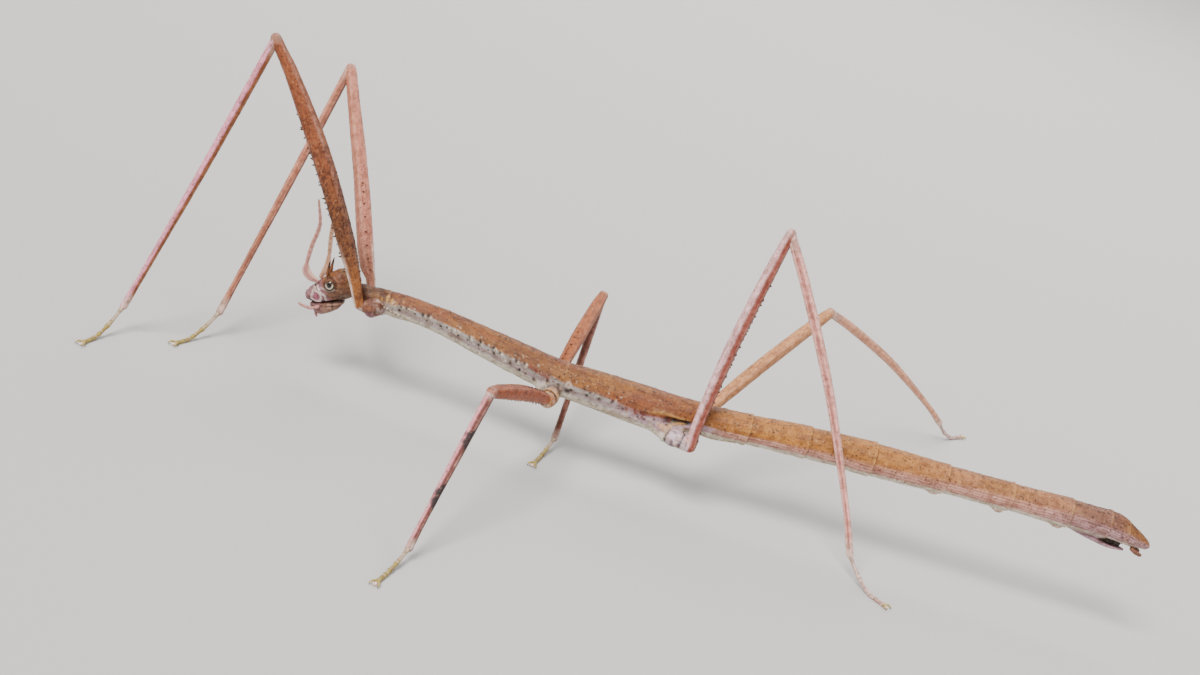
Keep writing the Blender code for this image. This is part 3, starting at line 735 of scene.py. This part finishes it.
def femur(pair, label, joints, look, dice):
    name = f"{pair}_{label}"
    points, flow, part, angle, centres, size, out = limb(
        joints[1], joints[2], femurLook[pair], 0.16, thighLines.get(name),
    )
    points = roughen(points, centres, flow, 0.03, 0.5, 41)
    tint, paint = coat(points, legColours, look["femurRear"])
    # painted light and shade: the face toward the light takes the lighter thigh colour and the rest keeps the
    # darker one, partly the leg's own colours
    front = 0.5 + 0.5 * towards(angle, look["light"][0])
    paint(look["femur"], step(front + 0.04 * noise(flow, 1.0, 42), 0.38, 0.62))
    # pale keels, partly their own colour and partly a painted highlight along the edges
    paint("edge", 0.32 * keelsAt(angle) * (0.6 + 0.4 * noise(flow, 0.8, 43)))
    low = 1 - 0.75 * step(part, 0.42, 0.75)  # the marks grow thicker towards the thigh's root
    if pair == "front":
        near, far, strength = (0.3, 0.6, 0.75) if label == "left" else (0.1, 0.24, 0.45)
        paint("root", strength * fall(part, near, far))
        if label == "left":
            paint("tan", 0.85 * fall(part, 0.08, 0.22))
    spots = step(noise(flow * (0.8, 1, 1), 0.2, 44), 0.30 - 0.22 * low, 0.52 - 0.22 * low) * look["speckle"]
    spots = spots * (0.5 if pair == "middle" else 1.0)
    paint("brown", 0.85 * spots * (0.3 + 0.7 * low) * (0.25 + 0.75 * step(part, 0.08, 0.22)))
    if look["speckle"] > 0.5:  # cross marks on the brown thighs
        cross = step(np.sin(part * 46 + 1.5 * noise(flow, 1.5, 45)), 0.6, 0.95)
        cross = cross * patches(flow, 1.0, 46, -0.2, 0.4)
        paint("brown", 0.5 * cross)
        if pair == "middle":  # dark edges above and below
            edges = np.abs(np.sin(angle - math.radians(281)))
            paint("brown", 0.6 * step(edges + 0.2 * noise(flow, 0.6, 48), 0.75, 0.95))
    paint("knee", (0.45 if pair == "hind" else 0.2) * step(part, 0.975, 1.0))
    if pair == "front":  # the slim pale base that curves round the head
        edge = towards(angle, 205 if label == "left" else 61)
        paint("pale", 0.9 * fall(part, 0.12, 0.26) * step(edge, 0.72, 0.92))
    if "line" in look:  # a dark line between the pale and the darker face
        facing = towards(angle, look["line"])
        paint("red", 0.7 * step(facing, 0.95, 0.99) * (0.7 + 0.3 * noise(flow, 0.7, 47)))
    grids = [(points, tint, flow)]
    along = unit(centres[-1] - centres[0])
    side = np.cross(along, out)
    for turn, first, last, tallest in spineLook["hindRows" if pair == "hind" else "rows"]:
        outward = out * math.cos(turn * turnFull) + side * math.sin(turn * turnFull)
        for at in np.arange(first, last, spineLook["spacing"] / max(look["spines"], 0.5)):
            at += dice.normal(0, 0.008)
            k = int(np.argmin(np.abs(part - at)))
            height = dice.uniform(0.35, 1.0) * tallest * (0.5 + 0.5 * look["spines"])
            grids.append(thorn(centres[k] + outward * size[k] * 1.02, outward + along * 0.35, height))
    return grids


def tibia(pair, joints, look):
    points, flow, part, angle, centres, _, _ = limb(joints[2], joints[3], tibiaLook[pair], 0.14)
    points = roughen(points, centres, flow, 0.02, 0.5, 51)
    tint, paint = coat(points, legColours, look["tibiaRear"])
    # painted light and shade: the face toward the light takes the lighter shin colour and the rest keeps the darker
    # one, partly the leg's own colours
    front = 0.5 + 0.5 * towards(angle, look["light"][1])
    paint(look["tibia"], step(front + 0.05 * noise(flow, 1.0, 52), 0.42, 0.62))
    if "stripe" in look:
        facing = towards(angle, look["stripe"])
        paint("red", 0.75 * step(facing, 0.90, 0.98) * (0.7 + 0.3 * noise(flow, 0.9, 56)))
        # the pale sides beside the red stripe are partly the shin's own colour and partly a painted highlight
        paint("pale", 0.75 * fall(np.abs(facing), 0.2, 0.5))
    # pale keels, partly their own colour and partly a painted highlight along the edges
    paint("edge", 0.5 * keelsAt(angle) * (0.6 + 0.4 * noise(flow, 0.8, 53)))
    for band in look.get("bands", ()):
        reach = bell(part, band, 0.042) + 0.3 * noise(flow * (0.4, 1, 1), 0.4, 54) + 1.1 * (0.38 - front)
        paint("blotch", step(reach, 0.35, 0.75) * step(bell(part, band, 0.06), 0.2, 0.5))
    paint("dark", 0.3 * look["speckle"] * patches(flow, 0.34, 55, 0.5, 0.7))
    paint("knee", (0.4 if pair == "front" else 0.65) * fall(part, 0.01, 0.08))
    paint("pale", 0.6 * step(part, 0.93, 0.99))
    return points, tint, flow


def tarsus(pair, joints):
    # five joints, each with a swollen end and a small pad, laid down flat at the tip
    look = tarsusLook
    ankle, toe = np.array(joints[3]), np.array(joints[4])
    wide, slim = look["radii"]
    swell = ((0.05, slim * 0.85), (0.3, slim), (0.65, slim * 1.05), (0.88, wide), (0.97, wide * 0.8))
    rows = []
    for first, second in zip(look["joints"], look["joints"][1:]):
        for share, radius in swell:
            rows.append((first + (second - first) * share, radius))
    rows[0] = (0.0, wide)
    rows = np.array(rows + [(1.0, wide * 0.7)])
    t = np.linspace(0, 1, look["stations"])
    size = smoothAlong(np.interp(t, rows[:, 0], rows[:, 1])[:, None], 2)[:, 0]
    centres = ankle + (toe - ankle) * t[:, None]
    level = look["level"]
    centres[:, 2] = level + (ankle[2] - level) * np.maximum(0, 1 - t / look["flatFrom"]) ** look["drop"]
    centres, size = domeRadii(centres, size)
    points, flow, run, _ = sweep(centres, size, (0, 0, 1), look["around"])
    points[..., 2] = np.maximum(points[..., 2], 0.0)
    part = np.clip(alongLimb(run), 0, 1)[:, None]
    tint, paint = coat(points, legColours, "footPale" if pair == "hind" else "foot")
    paint(legColours["pale"] * 0.8, 0.7 * fall(part, 0.25, 0.42))
    for joint in look["joints"][1:-1]:
        paint("dark", 0.45 * bell(part, joint - 0.012, 0.012))
        paint("pale", 0.5 * bell(part, joint - 0.035, 0.015))
    return points, tint, flow


def clawPair(joints):
    look = clawLook
    ankle, toe = np.array(joints[3]), np.array(joints[4])
    heading = unit((toe - ankle) * (1, 1, 0))
    across = np.array((-heading[1], heading[0], 0))
    up = np.array((0, 0, 1.0))
    flat = toe * (1, 1, 0)
    line = curveThrough(clawLine, np.linspace(0, 4, look["stations"]))
    grids = []
    for side in sides.values():
        places = flat + heading * line[:, :1] + across * side * line[:, 1:2] + up * line[:, 2:3]
        points, flow, run, _ = sweep(places, line[:, 3], (0.1, 0.1, 1), look["around"])
        tint, paint = coat(points, legColours, "foot")
        paint("dark", 0.9 * step(run / run[-1], 0.72, 0.92)[:, None])
        grids.append((points, tint, flow))
    turns = np.linspace(0.06, math.pi - 0.06, 14)  # the soft pad between the claws
    height = look["padHeight"]
    middle = flat + heading * look["padAhead"] + up * height
    places = middle - heading * look["padLength"] * np.cos(turns)[:, None]
    points, flow, _, _ = sweep(places, look["padRadius"] * np.sin(turns), (0, 0, 1), around=18)
    points[..., 2] = np.clip((points[..., 2] - height) * 0.6 + height, 0.0, None)
    return grids + [(points, coat(points, legColours, "pale")[0], flow)]


for number, (name, joints) in enumerate(legJoints.items()):
    pair, label = name.split("_")
    look = legLooks[name]
    dice = np.random.default_rng(60 + number)
    thigh = femur(pair, label, joints, look, dice)
    grids = [coxa(pair, label, joints, look), *thigh, tibia(pair, joints, look), tarsus(pair, joints)]
    solids = [f"{part}_{name}" for part in ("coxa", "femur", "tibia", "tarsus")]
    makePiece(f"legSkin_{name}", grids, legSkin, solids)
    makePiece(f"clawPair_{name}", clawPair(joints), clawSkin, [f"claws_{name}"])
print("legs done")

headLook = {"place": (-33.2, 3.45, 13.85), "pitch": -21.0, "yaw": -6.4}
headColours = palette(
    crown=(138, 94, 70), cheek=(122, 92, 76), face=(156, 118, 126), ridge=(246, 236, 232),
    clypeus=(172, 108, 130), dark=(38, 24, 20), jaw=(156, 122, 108), ochre=(164, 124, 82),
)
headTable = (  # distance ahead of the neck, half width, top, bottom
    (0.0, 1.00, 1.00, -1.10), (0.6, 1.30, 1.50, -1.45), (1.5, 1.70, 2.50, -1.75), (2.8, 1.80, 2.20, -1.92),
    (3.9, 1.62, 1.55, -2.05), (4.9, 1.36, 0.95, -2.15), (5.6, 1.16, 0.45, -2.10), (6.25, 0.95, 0.02, -1.95),
    (6.6, 0.66, -0.35, -1.75),
)
faceRidges = (  # places as x and z, width, height, colour and strength
    (((-4.95, 0.7), (-4.75, 0.2), (-4.54, -0.16)), 0.14, 0.14, "ridge", 0.95),
    (((-5.5, -0.15), (-5.0, -0.25), (-4.5, -0.5), (-4.4, -1.2), (-4.8, -1.75), (-5.4, -1.7), (-5.9, -1.2),
      (-5.5, -0.15)), 0.15, 0.14, "ridge", 0.95),
    (((-4.5, -0.3), (-4.1, -0.6), (-3.82, -0.9), (-3.85, -1.5)), 0.14, 0.12, "ridge", 0.8),
    (((-5.5, 0.3), (-5.3, 0.2)), 0.16, 0.12, "ridge", 0.9),
    (((-4.3, 0.3), (-3.6, 0.0), (-3.0, -0.1), (-2.3, 0.1)), 0.10, 0.08, "ridge", 0.35),
    (((-6.4, -1.55), (-5.35, -2.1), (-3.6, -1.93), (-2.4, -1.62), (-1.3, -1.25)), 0.15, -0.12, "dark", 0.9),
)
mouthTable = (
    (1.9, 0.70, -1.55, -2.45), (2.6, 1.05, -1.65, -3.1), (3.9, 1.16, -1.80, -3.6), (5.1, 1.0, -1.90, -3.85),
    (5.8, 0.72, -1.95, -3.5), (6.2, 0.45, -2.05, -2.95),
)
eyeLook = {"place": (-2.9, 1.64, 0.78), "radius": 0.62, "flatness": 0.42, "out": 0.32, "around": 40}
eyeColours = palette(ring=(206, 200, 184), iris=(92, 74, 62), pupil=(14, 10, 10), rim=(70, 52, 42))
hornLook = {"place": (-3.4, 0.78, 1.98), "height": 1.9, "radii": (0.27, 0.05), "tilt": (7.0, 14.0)}
antennaBase = {  # along the first joint: x, y, z and radius
    "left": ((-4.9, -1.0, 1.15, 0.3), (-5.7, -1.2, 1.75, 0.5), (-6.15, -1.35, 2.7, 0.5), (-5.95, -1.4, 3.7, 0.28)),
    "right": ((-4.9, 1.0, 1.15, 0.3), (-4.3, 1.25, 2.1, 0.5), (-3.95, 1.5, 2.9, 0.5), (-3.75, 1.7, 3.9, 0.28)),
}
antennaFlat = {"left": (1.2, 0.5), "right": (0.8, 0.45)}  # width and thickness of the leaf-like first joint
antennaLash = {
    "left": ((-5.88, -1.42, 3.95), (-4.95, -1.5, 6.3), (-3.6, -1.6, 9.1), (-3.4, -1.7, 12.5)),
    "right": ((-3.7, 1.75, 4.15), (-3.3, 1.9, 6.5), (-2.7, 2.0, 9.0), (-2.2, 2.1, 12.3)),
}
palpLines = {
    "left": ((-5.0, -1.25, -2.45), (-5.9, -1.6, -2.5), (-6.9, -1.6, -2.2), (-7.6, -1.4, -1.9)),
    "right": ((-5.0, 1.25, -2.45), (-5.8, 1.3, -3.0), (-6.1, 0.9, -3.7), (-5.9, 0.5, -4.3)),
}
thinRadii = {"lash": (0.26, 0.23, 0.19, 0.14), "palp": (0.24, 0.22, 0.20, 0.16)}
feelerColours = palette(left=(196, 150, 146), right=(208, 172, 146), rim=(236, 200, 186), joint=(150, 104, 84))
headTurn = np.array(Euler((0, math.radians(headLook["pitch"]), math.radians(headLook["yaw"])), "XYZ").to_matrix())


def headPiece(name, points, tint, flow, material, solid):
    # a piece made in the head's own frame, turned and put in place
    points = points @ headTurn.T + np.array(headLook["place"])
    makePiece(name, [(points, tint, flow)], material, [solid])


def headRings(table, spacing, around):
    # rings for a table of distance ahead, half width, top and bottom, with rounded ends
    firstPlace, lastPlace = table[0][0], table[-1][0]
    inside = np.arange(firstPlace, lastPlace, spacing)
    rows = curveThrough(table, inside)
    turns = np.linspace(0.25, 1.5, 6)

    def cap(row, place, way):
        middle = (row[1] + row[2]) / 2
        depth = min(row[0], (row[1] - row[2]) / 2) * 0.6
        high, low = middle + (row[1] - middle) * np.cos(turns), middle + (row[2] - middle) * np.cos(turns)
        return np.column_stack([place + way * depth * np.sin(turns), row[0] * np.cos(turns), high, low])

    rings = np.vstack([
        cap(rows[0], firstPlace, -1)[::-1], np.column_stack([inside, rows]),
        cap(curveThrough(table, [lastPlace])[0], lastPlace, 1),
    ])
    place, wide, top, bottom = (column[:, None] for column in rings.T)
    angle = np.arange(around) / around * turnFull
    middle = (top + bottom) / 2
    points = join(-place, -wide * np.sin(angle), middle + (top - bottom) / 2 * np.cos(angle))
    return points, join(-place, 0 * middle, middle)[:, 0]


def headSkinPiece():
    points, centres = headRings(headTable, spacing=0.07, around=96)
    flow = points.copy()
    x, y, z = points[..., 0], np.abs(points[..., 1]), points[..., 2]
    lift = 0.04 * noise(flow, 0.9, 61) + 0.03 * noise(flow, 0.4, 62)
    tint, paint = coat(points, headColours, "crown")
    paint("ochre", 0.7 * patches(flow, 0.9, 63, 0.0, 0.5))
    paint("cheek", 0.8 * fall(z, 0.3, 1.2))
    paint("face", step(-x + 0.5 * (0.6 - z), 3.7, 4.6))
    eyeX, _, eyeZ = eyeLook["place"]
    fromEye = np.sqrt((x - eyeX) ** 2 + (z - eyeZ) ** 2) + 3 * step(0.8 - y, 0, 0.4)
    lift += 0.10 * bell(fromEye, 0.85, 0.16)
    lift -= 0.06 * bell(fromEye, 1.15, 0.14)
    # painted shade: a dark ring round the eye, along its raised rim
    paint("dark", 0.8 * bell(fromEye, 0.82, 0.14))
    streaks = step(np.sin(z * 9 + 1.5 * noise(flow, 1.0, 64)), 0.5, 0.95) * step(x, -2.2, -1.6)
    paint("dark", 0.45 * streaks)
    paint("clypeus", 0.9 * np.exp(-(((x + 5.1) / 0.66) ** 4 + ((z + 1.05) / 0.72) ** 4)))
    for route, width, height, colour, strength in faceRidges:
        route = np.array(route)
        best = np.full(x.shape, 99.0)
        for (startX, startZ), (goX, goZ) in zip(route, np.diff(route, axis=0)):
            t = np.clip(((x - startX) * goX + (z - startZ) * goZ) / (goX**2 + goZ**2), 0, 1)
            best = np.minimum(best, np.hypot(x - startX - t * goX, z - startZ - t * goZ))
        shape = bell(best, 0, width) * step(y, 0.15, 0.4)
        lift += height * shape
        paint(colour, strength * shape)
    headPiece("headSkin", pushOut(points, centres, lift), tint, flow, headSkin, "head")


def mouthParts():
    points, centres = headRings(mouthTable, spacing=0.07, around=60)
    flow = points.copy()
    x, z = points[..., 0], points[..., 2]
    lift = 0.05 * noise(flow, 0.6, 71) - 0.10 * bell(z, -2.5, 0.07) - 0.08 * bell(x, -3.1, 0.08)
    tint, paint = coat(points, headColours, "jaw")
    paint("face", 0.6 * step(-x, 4.2, 5.0))
    paint("dark", 0.8 * bell(z, -2.5, 0.08) + 0.8 * bell(x, -3.1, 0.09))
    paint("dark", 0.8 * step(z, -2.15, -2.0))
    headPiece("jaws", pushOut(points, centres, lift), tint, flow, headSkin, "mouth")


def eyePiece(label, side):
    # a low dome with a pale ring round a dark middle
    look = eyeLook
    x, y, z = look["place"]
    turns = np.linspace(1.54, -1.54, 30)
    axis = unit(np.array((0.0, side, 0.16)))
    places = np.array((x, (y + look["out"]) * side, z)) + axis * (
        np.sin(turns) * look["radius"] * look["flatness"])[:, None]
    points, flow, _, angle = sweep(places, look["radius"] * np.cos(turns), (0, 0, 1), look["around"])
    reach = np.cos(turns)[:, None]
    outer = np.sin(turns)[:, None] > 0
    tint, paint = coat(points, eyeColours, "rim")
    browShade = step(np.cos(angle), -0.1, 0.6)  # painted shade: the ring's upper edge is darkened where the brow shades it
    paint("ring", outer * fall(reach, 0.84, 0.93) * (1 - 0.95 * browShade))
    paint("iris", 0.8 * outer * fall(reach, 0.58, 0.68))
    paint("pupil", outer * fall(reach, 0.46, 0.54))
    headPiece(f"eye_dome_{label}", points, tint, flow, eyeGloss, f"eye_{label}")


def hornPiece(label, side):
    look = hornLook
    tilt = Euler((math.radians(-look["tilt"][0] * side), math.radians(look["tilt"][1]), 0), "XYZ").to_matrix()
    share = np.linspace(0, 1, 22)
    x, y, z = look["place"]
    bent = join(0.12 * share**2, 0 * share, share * look["height"])
    places = bent @ np.array(tilt).T + np.array((x, y * side, z))
    size = look["radii"][0] * (1 - share) ** 0.8 + look["radii"][1] * share
    places, size = domeRadii(places, size)
    points, flow, run, _ = sweep(places, size, (1, 0, 0), around=24)
    points = roughen(points, places, flow, 0.03, 0.3, 81)
    tint, paint = coat(points, headColours, "crown")
    paint("dark", 0.85 * step(run / run[-1], 0.35, 0.8)[:, None])
    headPiece(f"horn_cone_{label}", points, tint, flow, hornSkin, f"horn_{label}")


def feeler(name, solid, rows, colour, rings, around, flat=None, stations=90):
    # a jointed feeler; flat gives the width and thickness of a leaf-like one
    line = curveThrough([(k, *row) for k, row in enumerate(rows)], np.linspace(0, len(rows) - 1, stations))
    size = line[:, 3]
    if rings:
        size = size * (0.86 + 0.20 * np.abs(np.sin(np.linspace(0, 1, stations) * math.pi * rings)) ** 0.5)
    places, size = domeRadii(line[:, :3], size)
    shape = np.ones(around)
    if flat:
        angle = np.arange(around) / around * turnFull
        leaf = np.sin(np.clip(np.linspace(-0.02, 1.02, len(places)), 0, 1) * math.pi)[:, None]
        wide, thin = (1 + (factor - 1) * leaf for factor in flat)
        shape = 1 / np.sqrt((np.cos(angle) / wide) ** 2 + (np.sin(angle) / thin) ** 2)
    points, flow, run, angle = sweep(places, size, (1, 0, 0.3), around, shape)
    tint, paint = coat(points, feelerColours, colour)
    if rings:
        part = (run / run[-1])[:, None]
        paint("joint", 0.55 * step(np.abs(np.cos(part * math.pi * rings)), 0.9, 0.99))
    if flat:
        paint("rim", 0.95 * step(np.abs(np.cos(angle)), 0.66, 0.86))
    headPiece(name, points, tint, flow, paleSkin, solid)


headSkinPiece()
mouthParts()
for label, side in sides.items():
    eyePiece(label, side)
    hornPiece(label, side)
    feeler(
        f"antenna_petal_{label}", f"antenna_base_{label}", antennaBase[label], label, rings=0, around=36,
        flat=antennaFlat[label],
    )
    rows = np.column_stack([antennaLash[label], thinRadii["lash"]])
    feeler(
        f"antenna_whip_{label}", f"antenna_lash_{label}", rows, label, rings=11, around=24, flat=(1.4, 0.9),
    )
    rows = np.column_stack([palpLines[label], thinRadii["palp"]])
    feeler(f"palp_joints_{label}", f"palp_{label}", rows, "left", rings=4, around=16)
print("head done")

operculumTable = (  # x, half width, top, bottom
    (69.0, 0.5, 14.50, 14.10), (70.2, 0.85, 14.65, 13.85), (71.4, 1.0, 14.65, 13.65), (73.4, 1.05, 14.35, 13.35),
    (74.6, 0.95, 14.05, 13.25), (75.8, 0.72, 13.88, 13.3), (76.9, 0.3, 13.7, 13.4),
)
cercusLine = ((77.7, 0.85, 14.35, 0.27), (78.5, 0.8, 14.0, 0.3), (79.2, 0.7, 13.8, 0.25))


def tailPlate():
    points, centres = (part * (-1, 1, 1) for part in headRings(operculumTable, spacing=0.1, around=48))
    flow = points.copy()
    tint, paint = coat(points, trunkColours, "mauve")
    upper = points[..., 2] - centres[:, None, 2]
    paint("lilac", 0.7 * bell(upper, -0.1, 0.2))
    # painted shade: the plate's upper part behind x 73 is darkened, under the body's hollow
    paint("dark", 0.9 * step(upper, 0.10, 0.28) * step(points[..., 0], 72.5, 73.5))
    points = pushOut(points, centres, 0.03 * noise(flow, 0.6, 91))
    makePiece("tailPlate", [(points, tint, flow)], bodySkin, ["operculum"])


def tailFeeler(label, side):
    rows = [(k, x, y * side, z, r) for k, (x, y, z, r) in enumerate(cercusLine)]
    line = curveThrough(rows, np.linspace(0, 2, 24))
    places, size = domeRadii(line[:, :3], line[:, 3])
    points, flow, _, _ = sweep(places, size, (0, 0, 1), around=20)
    points = roughen(points, places, flow, 0.03, 0.3, 95)
    tint, _ = coat(points, trunkColours, trunkColours["tail"] * 0.9)
    makePiece(f"tail_feeler_{label}", [(points, tint, flow)], bodySkin, [f"cercus_{label}"])


tailPlate()
for label, side in sides.items():
    tailFeeler(label, side)
print("tail done")

studioLook = {
    "floorSize": 6.0, "floor": (0.55, 0.54, 0.52), "floorRoughness": 0.9,
    "world": (0.93, 0.95, 1.0), "worldStrength": 0.38, "sunAngle": 0.42, "lampAim": (0, 0, 0.015),
    "lamps": (  # name, place, size, power, colour
        ("keySun", (-0.25, -0.35, 0.55), None, 4.8, (1.0, 0.97, 0.93)),
        ("fillPanel", (0.45, -0.30, 0.35), 0.5, 1.9, (0.95, 0.97, 1.0)),
        ("backPanel", (0.05, 0.45, 0.45), 0.5, 3.0, (1.0, 1.0, 1.0)),
    ),
}
cameraLook = {
    "azimuth": -3.77, "elevation": 20.62, "roll": 19.46, "distance": 277.7, "aim": (0.0, 0.0, 19.19),
    "lens": 62.61, "sensor": 36, "clip": (0.005, 20),
}


def studio():
    look = studioLook
    size = look["floorSize"] / 2
    mesh = bpy.data.meshes.new("floor")
    mesh.from_pydata([(-size, -size, 0), (size, -size, 0), (size, size, 0), (-size, size, 0)], [], [(0, 1, 2, 3)])
    material, surface = newMaterial("floorPaper")
    setSockets(surface, {"Base Color": (*look["floor"], 1), "Roughness": look["floorRoughness"]})
    mesh.materials.append(material)
    addObject("floor", mesh)
    world = bpy.data.worlds.new("softRoom")
    bpy.context.scene.world = world
    world.use_nodes = True
    background = world.node_tree.nodes["Background"]
    setSockets(background, {"Color": (*look["world"], 1), "Strength": look["worldStrength"]})
    for name, place, width, power, colour in look["lamps"]:
        light = bpy.data.lights.new(name, "AREA" if width else "SUN")
        if width:
            light.size = width
        else:
            light.angle = look["sunAngle"]
        light.energy = power
        light.color = colour
        lamp = addObject(name, light)
        lamp.location = place
        lamp.rotation_euler = (Vector(look["lampAim"]) - Vector(place)).to_track_quat("-Z", "Y").to_euler()


def placeCamera():
    look = cameraLook
    azimuth, elevation, roll = (math.radians(look[key]) for key in ("azimuth", "elevation", "roll"))
    back = Vector((
        math.sin(azimuth) * math.cos(elevation), -math.cos(azimuth) * math.cos(elevation), math.sin(elevation),
    ))
    level = Vector((math.cos(azimuth), math.sin(azimuth), 0))
    upright = back.cross(level)
    right = level * math.cos(roll) + upright * math.sin(roll)
    up = upright * math.cos(roll) - level * math.sin(roll)
    pose = Matrix((right, up, back)).transposed().to_4x4()
    pose.translation = (Vector(look["aim"]) + back * look["distance"] + Vector(centreShift)) * mm
    data = bpy.data.cameras.new("mainCamera")
    data.sensor_width = look["sensor"]
    data.lens = look["lens"]
    data.clip_start, data.clip_end = look["clip"]
    camera = addObject("mainCamera", data)
    camera.matrix_world = pose
    bpy.context.scene.camera = camera


studio()
placeCamera()
print("studio done")
